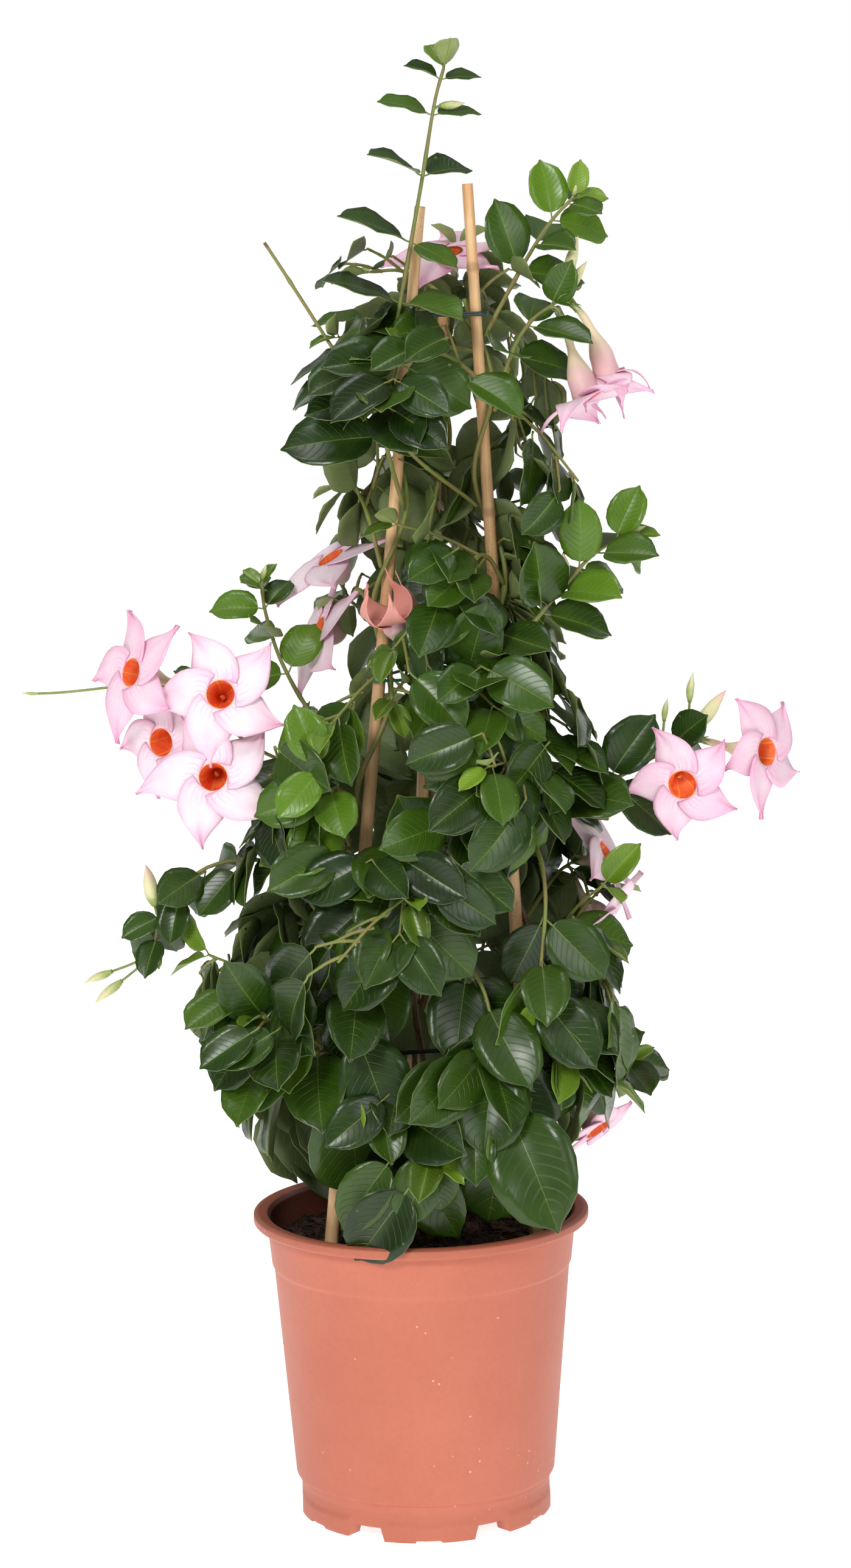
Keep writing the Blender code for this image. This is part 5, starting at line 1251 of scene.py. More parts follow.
class Spray:
    # What grows from one stem, with the corners of the solid that it replaces

    def __init__(self, name, spec):
        self.name = name
        self.spec = spec
        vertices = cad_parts[name].data.vertices
        self.corners = KDTree(len(vertices))
        for index, vertex in enumerate(vertices):
            self.corners.insert(vertex.co, index)
        self.corners.balance()
        self.tried = 0
        self.stem = []
        self.shoots = []
        self.leaves = []

    def nearest(self, point):
        return self.corners.find(point)[2]

    def findStem(self, stemAt):
        # The first stem that starts a twig's radius from a corner of the solid
        for attempt in range(massSettings["stemAttempts"]):
            self.stem = stemAt(self.spec, attempt)
            if abs(self.nearest(self.stem[0]) - twigSize["radius"]) < 0.00015:
                return self.stem
        print("  no stem found for", self.name)
        return self.stem

    def setLeaf(self, point, along, turn, length, spec):
        self.tried += 1
        dice = random.Random(f"{self.name} leaf {self.tried}")
        turn += dice.uniform(-leafSize["turnVaries"], leafSize["turnVaries"])
        length *= dice.uniform(*leafSize["lengthVaries"])
        tilt = dice.uniform(-leafSize["tiltVaries"], leafSize["tiltVaries"])
        for attempt in range(massSettings["leafAttempts"]):
            away = massSettings["leafTurnStep"] * swing(attempt)
            size = length * (1.0 - leafSize["shrinks"] * attempt)
            way = dict(spec, droop=spec["droop"] + tilt + leafSize["sags"] * attempt)
            axis, normal = leafFrame(point, along, turn + away, way)
            tip = point + axis * size - normal * leafSize["arch"] * size
            if self.nearest(tip) < 0.0003:
                self.leaves.append({"root": point, "axis": axis, "normal": normal, "size": size, "age": 1.0})
                return

    def setPairs(self, path, spec, shares, turn, lengths):
        for index, share in enumerate(shares):
            for side in (0.0, math.pi):
                pairTurn = turn + index * spec.get("step", math.pi / 2) + side
                self.setLeaf(pathAt(path, share), pathHeading(path, share), pairTurn, lengths[index], spec)


def sprayStem(spec, attempt):
    through = [Vector(point) for point in spec["through"]]
    height = spec["root"]
    if height is not None:
        height += massSettings["rootStep"] * swing(attempt)
    root = sprayRoot(spec["vine"], height, through[0])
    return smoothPath([root] + through, massSettings["sprayPoints"] + len(through))


def growSpray(name):
    spray = Spray(name, dict(sprays[name], bounded=False))
    spec = spray.spec
    path = spray.findStem(sprayStem)
    count = spec["pairs"]
    shares = [mix(spec["first"], 0.94, index / max(count - 1, 1)) for index in range(count)]
    lengths = [mix(spec["leaf"], spec["tipLeaf"], index / max(count - 1, 1)) for index in range(count)]
    spray.setPairs(path, spec, shares, math.radians(spec["turn"]), lengths)
    return spray


def nearestVine(azimuth, height):
    middle = caneMiddle(height)
    standing = [name for name in vines if vines[name]["top"] > height]
    return max(standing, key=lambda name: (vinePoint(name, height) - middle).dot(heading(azimuth)))


def massStem(spec, attempt):
    step = swing(attempt)
    azimuth = spec["azimuth"] + massSettings["azimuthStep"] * step
    height = min(spec["height"] + massSettings["rootStep"] * step, massSettings["rootLimit"])
    middle, radius = crownAt(spec["height"])
    tip = Vector((middle, 0, spec["height"])) + heading(azimuth) * radius * spec["reach"]
    root = sprayRoot(nearestVine(azimuth, height), height, tip)
    bend = root.lerp(tip, 0.5) + up * massSettings["stemArch"]
    return smoothPath([root, bend, tip], massSettings["stemPoints"])


def massName(index):
    return f"foliage_{index + 1:02d}"


def massSpec(index):
    share = index / (massSettings["count"] - 1)
    rise = share ** massSettings["crowding"]
    spec = {key: mix(lowFoliage[key], highFoliage[key], rise) for key in lowFoliage}
    spec["height"] = mix(massSettings["lowest"], massSettings["highest"], rise)
    spec["azimuth"] = massSettings["firstAzimuth"] + goldenAngle * index
    spec["bounded"] = True
    return spec


def growMass(index):
    spray = Spray(massName(index), massSpec(index))
    spec = spray.spec
    path = spray.findStem(massStem)
    for number in range(massSettings["shootCount"]):
        share = mix(*massSettings["shootsAt"], number / (massSettings["shootCount"] - 1))
        dice = random.Random(f"{spray.name} shoot {number}")
        along = pathHeading(path, share)
        side = along.cross(up).normalized() * (-1) ** number
        rise = dice.uniform(*massSettings["shootRise"]) * (-1) ** (number // 2 + index)
        lean = side + along * dice.uniform(*massSettings["shootLean"]) + up * rise
        start = pathAt(path, share)
        reach = lean.normalized() * massSettings["shootLength"]
        end = start + reach * dice.uniform(*massSettings["shootVaries"])
        if isInCrown(end) and abs(spray.nearest(end) - twigSize["shootTipRadius"]) < 0.0003:
            spray.shoots.append((number, [start, end]))
    lengths = [spec["leaf"] * share for share in massSettings["leafGrows"]]
    for number, shoot in spray.shoots:
        spray.setPairs(shoot, spec, massSettings["shootPairs"], goldenAngle * number, lengths)
    spray.setPairs(path, spec, massSettings["stemPairs"], 0.0, lengths)
    return spray


makeVines()
grown = [growSpray(name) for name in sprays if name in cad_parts]
grown += [growMass(index) for index in range(massSettings["count"]) if massName(index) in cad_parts]
print("growth found:", sum(len(spray.leaves) for spray in grown), "leaves in", len(grown), "sprays")


# Leaves: blades with a midrib, a pale rim and side veins, each on its own stalk

bladeShape = {
    "rowsAt": (0.0, 0.03, 0.10, 0.22, 0.38, 0.55, 0.70, 0.81, 0.89, 0.945, 1.0),
    "columnsAt": (1.0, 0.66, 0.33),
    "stalk": 0.13, "width": 0.66, "thickness": 0.009, "rib": 0.00042, "arch": 0.16,
    "fold": (0.10, 0.42), "ripple": 0.030, "sway": 0.07, "stalkRadius": 0.00085, "stalkOver": 0.012,
    "stalkBend": 0.012, "stalkTaper": (1.35, 0.95, 0.90, 0.95, 0.80), "stalkSides": 6,
}
leafTints = {
    "deep": {"top": (rgb(0.011, 0.032, 0.003), rgb(0.021, 0.052, 0.005)), "under": rgb(0.150, 0.205, 0.070)},
    "full": {"top": (rgb(0.020, 0.054, 0.003), rgb(0.036, 0.084, 0.006)), "under": rgb(0.185, 0.240, 0.080)},
    "fresh": {"top": (rgb(0.042, 0.102, 0.005), rgb(0.066, 0.140, 0.009)), "under": rgb(0.240, 0.305, 0.100)},
    "young": {"top": (rgb(0.095, 0.180, 0.012), rgb(0.135, 0.230, 0.020)), "under": rgb(0.300, 0.365, 0.125)},
}
leafGloss = {"rough": 0.27, "coat": 0.06, "coatRough": 0.15, "specular": 0.38}


def leafTop(name, tint):
    material, tree, shader, solid = newMaterial(
        f"leaf {name}", leafGloss["rough"], Coat_Weight=leafGloss["coat"],
        Coat_Roughness=leafGloss["coatRough"], Specular_IOR_Level=leafGloss["specular"])
    first, second = tint["top"]
    base = inPatches(tree, solid, 34.0, 900.0, 0.10, first, second)
    lines = useGroup(tree, veins, {"Place": placeOf(tree)})
    light = (1.7 * second[0] + 0.012, 1.7 * second[1] + 0.012, 1.4 * second[2], 1.0)
    age = shadeOf(tree)
    darkShare = times(tree, ramp(tree, age, 0.50, 0.0), 0.80)
    dim = blendColours(tree, darkShare, base.outputs[0], dimmed(first, 0.50))
    aged = blendColours(tree, times(tree, ramp(tree, age, 0.50, 1.0), 0.70), dim, light)
    veined = blendColours(tree, times(tree, lines.outputs["Vein"], 0.22), aged, light)
    middle = times(tree, ramp(tree, lines.outputs["Across"], 0.30, 0.0), 0.20)
    paint(tree, shader, blendColours(tree, middle, veined, light))
    sheen = noise(tree, solid, 60.0, 3.0)
    varyRoughness(tree, shader, sheen, leafGloss["rough"] - 0.07, leafGloss["rough"] + 0.12)
    relief = compute(tree, "SUBTRACT", times(tree, sheen, 0.5), lines.outputs["Vein"])
    bumpFrom(tree, shader, relief, 0.00035, 0.7)
    return material


def leafUnder(name, tint):
    material, tree, shader, solid = newMaterial(f"leaf {name} underside", 0.55)
    under = tint["under"]
    base = inPatches(tree, solid, 40.0, 1100.0, 0.10, dimmed(under, 0.8), under)
    lines = useGroup(tree, veins, {"Place": placeOf(tree)})
    veinShare = times(tree, lines.outputs["Vein"], 0.45)
    paint(tree, shader, blendColours(tree, veinShare, base.outputs[0], dimmed(under, 1.25)))
    bumpFrom(tree, shader, lines.outputs["Vein"], 0.00025, 0.6)
    return material


def leafRib(name, tint):
    pale = (0.36, 0.48, 0.12)
    rib = rgb(*(mix(value, paler, 0.34) for value, paler in zip(tint["top"][1], pale)))
    return plainMaterial(f"leaf {name} rib", rib, dimmed(rib, 0.75), 0.42, patch=80.0, relief=0.00005)


def bladeRows(leaves):
    # The grid of every blade at once. v runs along it and u across, from -1 to 1:
    # half width = width * sin(pi * (0.97 * v) ^ 0.84) ^ 0.56, drawn in to a short point past v = 0.86
    # point = root + axis * s * length + across * (u * half width + sway * s^2 * length)
    #         + normal * (fold * half width * |u|^1.3 - arch * s^2 * length + ripple),
    # with s = stalk + (1 - stalk) * v
    count = len(leaves)
    root, axis, normal = (np.array([leaf[key] for leaf in leaves]) for key in ("root", "axis", "normal"))
    size = np.array([leaf["size"] for leaf in leaves])[:, None, None]
    age = np.array([leaf["age"] for leaf in leaves])[:, None, None]
    across = np.cross(axis, normal)
    dice = np.random.default_rng(21)
    v = np.array(bladeShape["rowsAt"])[None, :, None]
    body = np.sin(math.pi * (0.97 * v) ** 0.84) ** 0.56
    point = np.interp(v, (0.86, 0.945, 1.0), (1.0, 0.34, 0.05))
    width = bladeShape["width"] * dice.uniform(0.90, 1.08, (count, 1, 1)) * mix(0.72, 1.0, age)
    half = np.maximum(0.5 * width * size * body * point, 0.0004)
    half[:, 0] = 0.0009
    rib = bladeShape["rib"] * (1.0 - 0.75 * v) * mix(0.6, 1.0, age) / half
    rib = np.minimum(rib, 0.30)[..., 0]
    wide = np.ones_like(rib)
    beyond = [share * wide for share in bladeShape["columnsAt"]]
    u = np.stack([-part for part in beyond] + [-rib, rib] + beyond[::-1], axis=-1)
    share = bladeShape["stalk"] + (1.0 - bladeShape["stalk"]) * v
    fold = dice.uniform(*bladeShape["fold"], (count, 1, 1)) + 0.35 * (1.0 - age)
    sway = dice.uniform(-1, 1, (count, 1, 1)) * bladeShape["sway"]
    arch = bladeShape["arch"] * dice.uniform(0.75, 1.15, (count, 1, 1))
    waves = dice.uniform(0, math.tau, (count, 1, 1))
    wavy = bladeShape["ripple"] * np.sin(math.tau * 1.6 * v + waves + 1.7 * np.sign(u)) * u ** 2
    droop = dice.uniform(-0.02, 0.05, (count, 1, 1)) * np.maximum(v - 0.6, 0) * 2.0
    lift = (fold * half * np.abs(u) ** 1.3 - arch * share ** 2 * size + wavy * size * np.sin(math.pi * v)
            - droop * size)
    twist = dice.uniform(-0.22, 0.22, (count, 1, 1)) * v
    sideways = u * half + sway * share ** 2 * size
    lift = lift + twist * u * half
    points = (root[:, None, None] + axis[:, None, None] * (share * size)[..., None]
              + across[:, None, None] * sideways[..., None] + normal[:, None, None] * lift[..., None])
    place = np.stack([np.broadcast_to(u, points.shape[:3]), np.broadcast_to(v, points.shape[:3])], axis=-1)
    return points, place


def makeLeaves(name, leaves, tint, replaced):
    front, place = bladeRows(leaves)
    sizes = np.array([leaf["size"] for leaf in leaves])
    points, upper, under, edge = thinBodies(front, np.maximum(sizes * bladeShape["thickness"], 0.0004))
    strips = front.shape[2] - 1
    topLook = np.where(np.arange(len(upper)) % strips == strips // 2, 2, 0)
    underLook = np.where(np.arange(len(under)) % strips == strips // 2, 2, 1)
    surfaces = Surfaces()
    both = np.stack([place, place], axis=1)
    each = 2 * front.shape[1] * front.shape[2]
    shade = np.repeat(np.random.default_rng(len(leaves)).uniform(0.0, 1.0, len(leaves)), each)
    surfaces.add(points, [upper, under, edge], both, shade)
    surfaces.looks = [topLook, underLook, np.full(len(edge), 2)]
    looks = [leafTop(name, tint), leafUnder(name, tint), leafRib(name, tint)]
    surfaces.piece(name + "Leaves", looks, "foliage", replaced)


def makeStalks(leaves):
    # A leaf stalk runs from its twig to the foot of its blade, bent along the blade's own arch
    root, axis, normal = (np.array([leaf[key] for leaf in leaves]) for key in ("root", "axis", "normal"))
    size = np.array([leaf["size"] for leaf in leaves])
    taper = np.array(bladeShape["stalkTaper"])
    share = np.linspace(0.0, bladeShape["stalk"] + bladeShape["stalkOver"], len(taper))
    lift = -bladeShape["arch"] * share ** 2 - bladeShape["stalkBend"] * np.sin(math.pi * share / share[-1])
    paths = (root[:, None] + axis[:, None] * (share[None] * size[:, None])[..., None]
             + normal[:, None] * (lift[None] * size[:, None])[..., None])
    thick = bladeShape["stalkRadius"] * (size / 0.07) ** 0.5
    return tubes(paths, thick[:, None] * taper[None], bladeShape["stalkSides"])


# Finer growth: young pairs at the shoots' tips, and short shoots from the leaf axils

fineGrowth = {"tipSize": 0.46, "tipChance": 0.75, "tipAge": 0.35, "axilSize": 0.84, "axilLength": 0.030,
              "axilAge": 0.85, "apart": 0.0135, "middleAt": 0.55, "halfWidth": 0.30,
              "axilsAt": (0.88, 0.68, 0.48, 0.28), "spotsAt": (0.3, 0.55, 0.8, 1.0),
              "sprays": ("leaves_peak", "leaves_upper", "leaves_mid", "leaves_centre", "leaves_left",
                         "leaves_low", "leaves_front", "flower_peak", "flowers_behind")}
viewer = Vector((0.009, -2.83, 0.95))
canesInSight = {"cane_left": ((0.51, 0.765),), "cane_right": ((0.68, 0.75), (0.825, 0.94))}


def stretchesInSight():
    # What finer leaves stay clear of: stretches of cane, one shoot, and each throat with room about it
    kept = [(canePoint(name, low), canePoint(name, high), 0.0)
            for name, stretches in canesInSight.items() for low, high in stretches]
    shoot = [Vector(point) for point in sprays["shoot_front"]["through"]]
    kept.append((shoot[0], shoot[-1], 0.0))
    for spec in sprays.values():
        for bloom in spec.get("flowers", ()):
            throat, reach = Vector(bloom["throat"]), up * 0.3 * bloom["radius"]
            kept.append((throat - reach, throat + reach, 0.6 * bloom["radius"]))
    return kept


keptInSight = stretchesInSight()
tintOf = {"leader": "full", "shoot_top": "fresh", "shoot_left": "fresh", "buds_left": "full",
          "shoot_right": "fresh", "flowers_left": "fresh", "flowers_right": "deep", "leaves_front": "deep",
          "shoot_low": "full", "flower_peak": "full", "flowers_top": "full", "leaves_peak": "deep",
          "leaves_upper": "full", "leaves_mid": "fresh", "leaves_centre": "full", "leaves_left": "full",
          "leaves_low": "deep", "shoot_front": "deep"}


def tintFor(spray, dice):
    if spray.name in tintOf:
        return tintOf[spray.name]
    height = spray.stem[-1].z
    choice = dice.random()
    if height < 0.42:
        return "deep" if choice < 0.62 else "full"
    if height < 0.68:
        return "full" if choice < 0.55 else ("deep" if choice < 0.80 else "fresh")
    return "full" if choice < 0.65 else "deep"


def frontView(point):
    # Where a point is seen from the front, in the upright plane through the pot's middle
    scale = viewer.y / (viewer.y - point.y)
    return Vector((viewer.x + (point.x - viewer.x) * scale, viewer.z + (point.z - viewer.z) * scale))


def hidesKept(leaf):
    # Whether a finer leaf stands before a cane, a stem or a flower that is in sight from the front
    spots = [leaf["root"] + leaf["axis"] * leaf["size"] * along for along in fineGrowth["spotsAt"]]
    for start, end, room in keptInSight:
        first = frontView(start)
        line = frontView(end) - first
        for spot in spots:
            seen = frontView(spot)
            share = min(max((seen - first).dot(line) / line.length_squared, 0.0), 1.0)
            if spot.y < mix(start.y, end.y, share):
                if (first + line * share - seen).length < room + fineGrowth["halfWidth"] * leaf["size"]:
                    return True
    return False


def reachOf(spray):
    # Where finer leaves may grow: inside the crown, or inside the box of the spray's own leaves
    if spray.spec["bounded"]:
        return isInCrown
    tips = [leaf["root"] + leaf["axis"] * leaf["size"] for leaf in spray.leaves] or [Vector()]
    lowest = [min(tip[axis] for tip in tips) for axis in range(3)]
    highest = [max(tip[axis] for tip in tips) for axis in range(3)]

    def isInBox(point):
        return all(low <= value <= high for low, value, high in zip(lowest, point, highest))

    return isInBox


def youngPairs(spray, axes, dice):
    # A young pair of leaves at the ends of most stems and shoots
    young = []
    for path in axes:
        along = pathHeading(path, 0.95)
        if dice.random() >= fineGrowth["tipChance"]:
            continue
        turn = dice.uniform(0, math.tau)
        for side in (0.0, math.pi):
            size = spray.spec["leaf"] * fineGrowth["tipSize"] * dice.uniform(0.8, 1.15)
            way = dict(spray.spec, droop=0.1, face_up=0.6)
            axis, normal = leafFrame(path[-1], along, turn + side, way)
            axis = (axis + along * 0.6).normalized()
            normal = (normal - axis * normal.dot(axis)).normalized()
            young.append({"root": path[-1].copy(), "axis": axis, "normal": normal, "size": size,
                          "age": fineGrowth["tipAge"]})
    return young


def axilTwig(path, number, dice):
    # A short twig from a leaf axil, on one side of its path and then on the other
    share = fineGrowth["axilsAt"][number // 2]
    along = pathHeading(path, share)
    start = pathAt(path, share)
    side = along.orthogonal().normalized()
    side.rotate(Matrix.Rotation(dice.uniform(0, math.pi / 2) + number * math.pi, 3, along))
    way = side + along * 0.5 + outwardAt(start) * 0.5
    return [start, start + way.normalized() * fineGrowth["axilLength"]]


def axilPair(spec, twig, dice, taken, isInReach):
    # The pair at a short twig's end, less what is crowded, out of reach or in the way
    start, end = twig
    pair = []
    for turn in (0.0, math.pi):
        size = spec["leaf"] * fineGrowth["axilSize"] * dice.uniform(0.8, 1.1)
        axis, normal = leafFrame(end, (end - start).normalized(), turn, spec)
        middle = end + axis * size * fineGrowth["middleAt"]
        crowded = taken and min((middle - other).length for other in taken) < fineGrowth["apart"]
        leaf = {"root": end, "axis": axis, "normal": normal, "size": size, "age": fineGrowth["axilAge"]}
        if isInReach(end + axis * size) and not crowded and not hidesKept(leaf):
            pair.append(leaf)
            taken.append(middle)
    return pair


def growFiner(spray, taken):
    # Leaves on finer twigs, kept in reach and off the leaves that already stand
    dice = random.Random(f"{spray.name} finer")
    axes = [spray.stem] + [shoot for _, shoot in spray.shoots]
    young = youngPairs(spray, axes, dice)
    isInReach = reachOf(spray)
    axils = []
    if not spray.spec["bounded"] and spray.name not in fineGrowth["sprays"]:
        return young, axils
    for path in axes:
        for number in range(2 * len(fineGrowth["axilsAt"])):
            twig = axilTwig(path, number, dice)
            if not isInReach(twig[1]):
                continue
            pair = axilPair(spray.spec, twig, dice, taken, isInReach)
            spray.leaves += pair
            if pair:
                axils.append(twig)
    return young, axils


twigMesh = {"steps": 24, "sides": 7, "stemShares": (0.72, 0.60), "shootRadii": (0.0013, 0.0009),
            "shootArch": 0.05, "swell": 0.22, "swellAt": (0.36, 0.66, 0.93), "swellLength": 0.03,
            "greenFrom": 0.30, "greenFade": 0.10, "woodShare": 0.75}


def growAll(grown):
    # All leaves and the sprays' names by tint, every stalked leaf, and every twig's path and radii
    found = {"leaves": {name: [] for name in leafTints}, "sprays": {name: [] for name in leafTints},
             "stalked": [], "paths": [], "radii": []}
    taken = [leaf["root"] + leaf["axis"] * leaf["size"] * fineGrowth["middleAt"]
             for spray in grown for leaf in spray.leaves]
    steps = twigMesh["steps"]
    thick = twigSize["radius"] * twigMesh["stemShares"][0]
    thin = twigSize["tipRadius"] * twigMesh["stemShares"][1]
    for spray in grown:
        young, axils = growFiner(spray, taken)
        tint = tintFor(spray, random.Random(f"{spray.name} tint"))
        found["leaves"][tint] += spray.leaves
        found["leaves"]["young"] += young
        found["sprays"][tint].append(spray.name)
        found["stalked"] += spray.leaves + young
        found["paths"].append(smoothPath(spray.stem, steps))
        found["radii"].append(np.linspace(thick, thin, steps))
        for start, end in [shoot for _, shoot in spray.shoots] + axils:
            bend = start.lerp(end, 0.5) + up * twigMesh["shootArch"] * (end - start).length
            found["paths"].append(smoothPath([start, bend, end], steps))
            found["radii"].append(np.linspace(*twigMesh["shootRadii"], steps))
    return found


def makeTwigs(found, size):
    # Green twigs, a little swollen where the leaf pairs sit
    paths = np.array([[tuple(point) for point in path] for path in found["paths"]])
    share = np.linspace(0.0, 1.0, size["steps"])
    away = (share[None, :] - np.array(size["swellAt"])[:, None]) / size["swellLength"]
    radii = np.array(found["radii"]) * (1.0 + size["swell"] * np.exp(-away ** 2).sum(axis=0))[None]
    points, faceSets, place = tubes(paths, radii, size["sides"])
    woody = 1.0 - smoothStep((points[..., 2] - size["greenFrom"]) / size["greenFade"])
    surfaces = Surfaces()
    surfaces.add(points, faceSets, place, size["woodShare"] * woody.reshape(-1))
    surfaces.piece("twigs", [vineSkin()], "vine", [spray.name for spray in grown])
    stalks = Surfaces()
    stalks.add(*makeStalks(found["stalked"]))
    look = plainMaterial("leaf stalk", rgb(0.170, 0.240, 0.050), rgb(0.230, 0.250, 0.070), 0.45,
                         relief=0.00005)
    stalks.piece("leafStalks", [look], "vine")


growth = growAll(grown)
makeTwigs(growth, twigMesh)
for tintName, tint in leafTints.items():
    makeLeaves(tintName, growth["leaves"][tintName], tint, growth["sprays"][tintName])
print("leaves and twigs made:", len(growth["stalked"]), len(growth["paths"]))


# The cut stem that slants up across the front

def makeCutVine(size):
    through = [Vector(point) for point in size["through"]]
    root = sprayRoot(size["vine"], size["root"], through[0])
    path = np.array([tuple(point) for point in smoothPath([root] + through, size["steps"])])
    share = np.linspace(0.0, 1.0, size["steps"])
    away = (share[:, None] - np.array(size["nodesAt"])[None, :]) / size["swellLength"]
    swell = 1.0 + size["swell"] * np.exp(-away ** 2).sum(axis=1)
    radii = size["radius"] * (1.15 - 0.25 * share) * swell
    points, faceSets, place = tubes(path[None], radii[None], size["sides"])
    surfaces = Surfaces()
    surfaces.add(points, faceSets, place, np.repeat(1.1 * (share > size["woodFrom"]), size["sides"]))
    surfaces.piece("cutStem", [vineSkin()], "vine", ["cut_vine"])


makeCutVine(cutVine)


# Flowers: a tube from its calyx to an orange-red throat, and five lobes, each fuller on one shoulder

bloomShape = {
    "turn": math.radians(61), "throat": 0.0102, "swirl": -0.17, "width": 0.262, "curl": 0.09,
    "thickness": 0.00055, "tubeSkin": 0.0008, "rows": 13, "columns": 11, "sides": 26, "tubeSteps": 26,
    "tubeLength": 0.052, "tubeRadii": (0.0020, 0.0028), "pathSteps": 120, "coneSteps": 8,
    "coneLength": 0.007, "coneRadii": (0.0020, 0.0004), "stalkSteps": 16, "stalkSides": 8,
}
flowerCalyx = {"length": 0.0075, "radius": 0.0021, "thickness": 0.0004}
bloomKinds = {
    # size is the reach of the lobes beside the solid's, and the rest bend them
    "open": {"size": 1.08, "curl": 1.0, "blush": 0.12, "tube": 1.0},
    "pale": {"size": 1.22, "curl": 1.3, "blush": 0.05, "tube": 1.0},
    "pink": {"size": 1.12, "curl": 1.2, "blush": 0.62, "tube": 1.0},
    "hanging": {"size": 1.12, "curl": -3.4, "blush": 0.50, "tube": 1.35},
    "closing": {"size": 1.40, "curl": -9.0, "blush": 0.45, "tube": 1.6},
    "spent": {"size": 1.55, "curl": -11.0, "blush": 1.6, "tube": 0.8},
}
bloomLooks = {
    "flowers_left": ("pink", "open", "open", "open"), "flowers_right": ("pink", "pink"),
    "flowers_low": ("pale", "pale"), "flowers_top": ("hanging", "closing"), "flower_peak": ("pink",),
    "flowers_behind": ("pale", "pale"), "bloom_spent": ("spent",), "shoot_low": ("pink",),
}


def bloomFrames(blooms):
    facing = unit(np.array([bloom["facing"] for bloom in blooms], float))
    across = unit(np.cross(facing, np.array([0.0, 0.0, 1.0])))
    return facing, across, np.cross(across, facing)


def lobeRows(blooms):
    # Every lobe at once. v runs from the throat to the tip and u from rim to rim, -1 to 1:
    # reach = throat + (size - throat) * v, middle turned back by swirl * (1 - v^1.5) from its tip,
    # half width = 0.66 * throat * (1 - v) + width * size * v^0.35 * (1 - v)^1.35 / 0.422,
    # times 1 + 0.45 * v on one side and 1 - 0.30 * v on the other,
    # depth = - curl * size * v^2 - edges back * u^2 + tilt * u + ruffle - a groove down the middle
    facing, across, other = bloomFrames(blooms)
    number = len(blooms)
    size = np.array([bloom["radius"] * bloomKinds[bloom["kind"]]["size"] for bloom in blooms])
    curl = np.array([bloomKinds[bloom["kind"]]["curl"] for bloom in blooms]) * bloomShape["curl"]
    throats = np.array([bloom["throat"] for bloom in blooms], float)
    dice = np.random.default_rng(31)
    rows, columns = bloomShape["rows"], bloomShape["columns"]
    v = np.linspace(0.0, 1.0, rows)[None, None, :, None]
    u = np.linspace(-1.0, 1.0, columns)[None, None, None, :]
    sizes = size[:, None, None, None]
    curls = curl[:, None, None, None] * dice.uniform(0.6, 1.4, (number, 5, 1, 1))
    mouth = np.minimum(bloomShape["throat"], 0.30 * sizes)
    reach = mouth + (sizes * dice.uniform(0.93, 1.05, (number, 5, 1, 1)) - mouth) * v
    half = 0.66 * mouth * (1 - v) + bloomShape["width"] * sizes * v ** 0.35 * (1 - v) ** 1.35 / 0.422
    half = np.maximum(half, 0.0004)
    half = half * np.where(u > 0, 1.0 + 0.45 * v, 1.0 - 0.30 * v)
    tips = bloomShape["turn"] + math.tau * np.arange(5)[None, :, None, None] / 5
    swirl = tips + bloomShape["swirl"] * (v ** 1.5 - 1)
    sideways = u * half
    bent = swirl + sideways / reach
    radialBent, radialStraight = reach * np.cos(bent), reach * np.cos(swirl) - sideways * np.sin(swirl)
    tangentBent, tangentStraight = reach * np.sin(bent), reach * np.sin(swirl) + sideways * np.cos(swirl)
    flat = smoothStep(v / 0.55)
    x = mix(radialBent, radialStraight, flat)
    y = mix(tangentBent, tangentStraight, flat)
    phase = dice.uniform(0, math.tau, (number, 5, 1, 1))
    edges = -curls * v ** 2 - 0.10 * u ** 2 * v * (1.1 - v)
    tilt = 0.055 * u * np.sin(math.pi * v ** 0.7)
    ruffle = 0.030 * v ** 2 * np.sin(3.2 * u + phase) + 0.016 * v * np.sin(7.0 * u + 2 * phase)
    groove = 0.03 * np.exp(-(u / 0.12) ** 2) * v * (1 - v)
    depth = sizes * (edges + tilt + ruffle - groove)
    # A strong curl draws the lobe in as it bends back or forward, so that its length stays
    pull = np.sqrt(np.maximum(1.0 - np.minimum(np.abs(curls) * v, 0.93) ** 2, 0.05))
    x, y = x * mix(1.0, pull, v), y * mix(1.0, pull, v)
    points = (throats[:, None, None, None] + across[:, None, None, None] * x[..., None]
              + other[:, None, None, None] * y[..., None] + facing[:, None, None, None] * depth[..., None])
    points = points.reshape(number * 5, rows, columns, 3)
    place = np.stack([np.broadcast_to(u, x.shape), np.broadcast_to(v, x.shape)], axis=-1)
    return points, place.reshape(number * 5, rows, columns, 2)


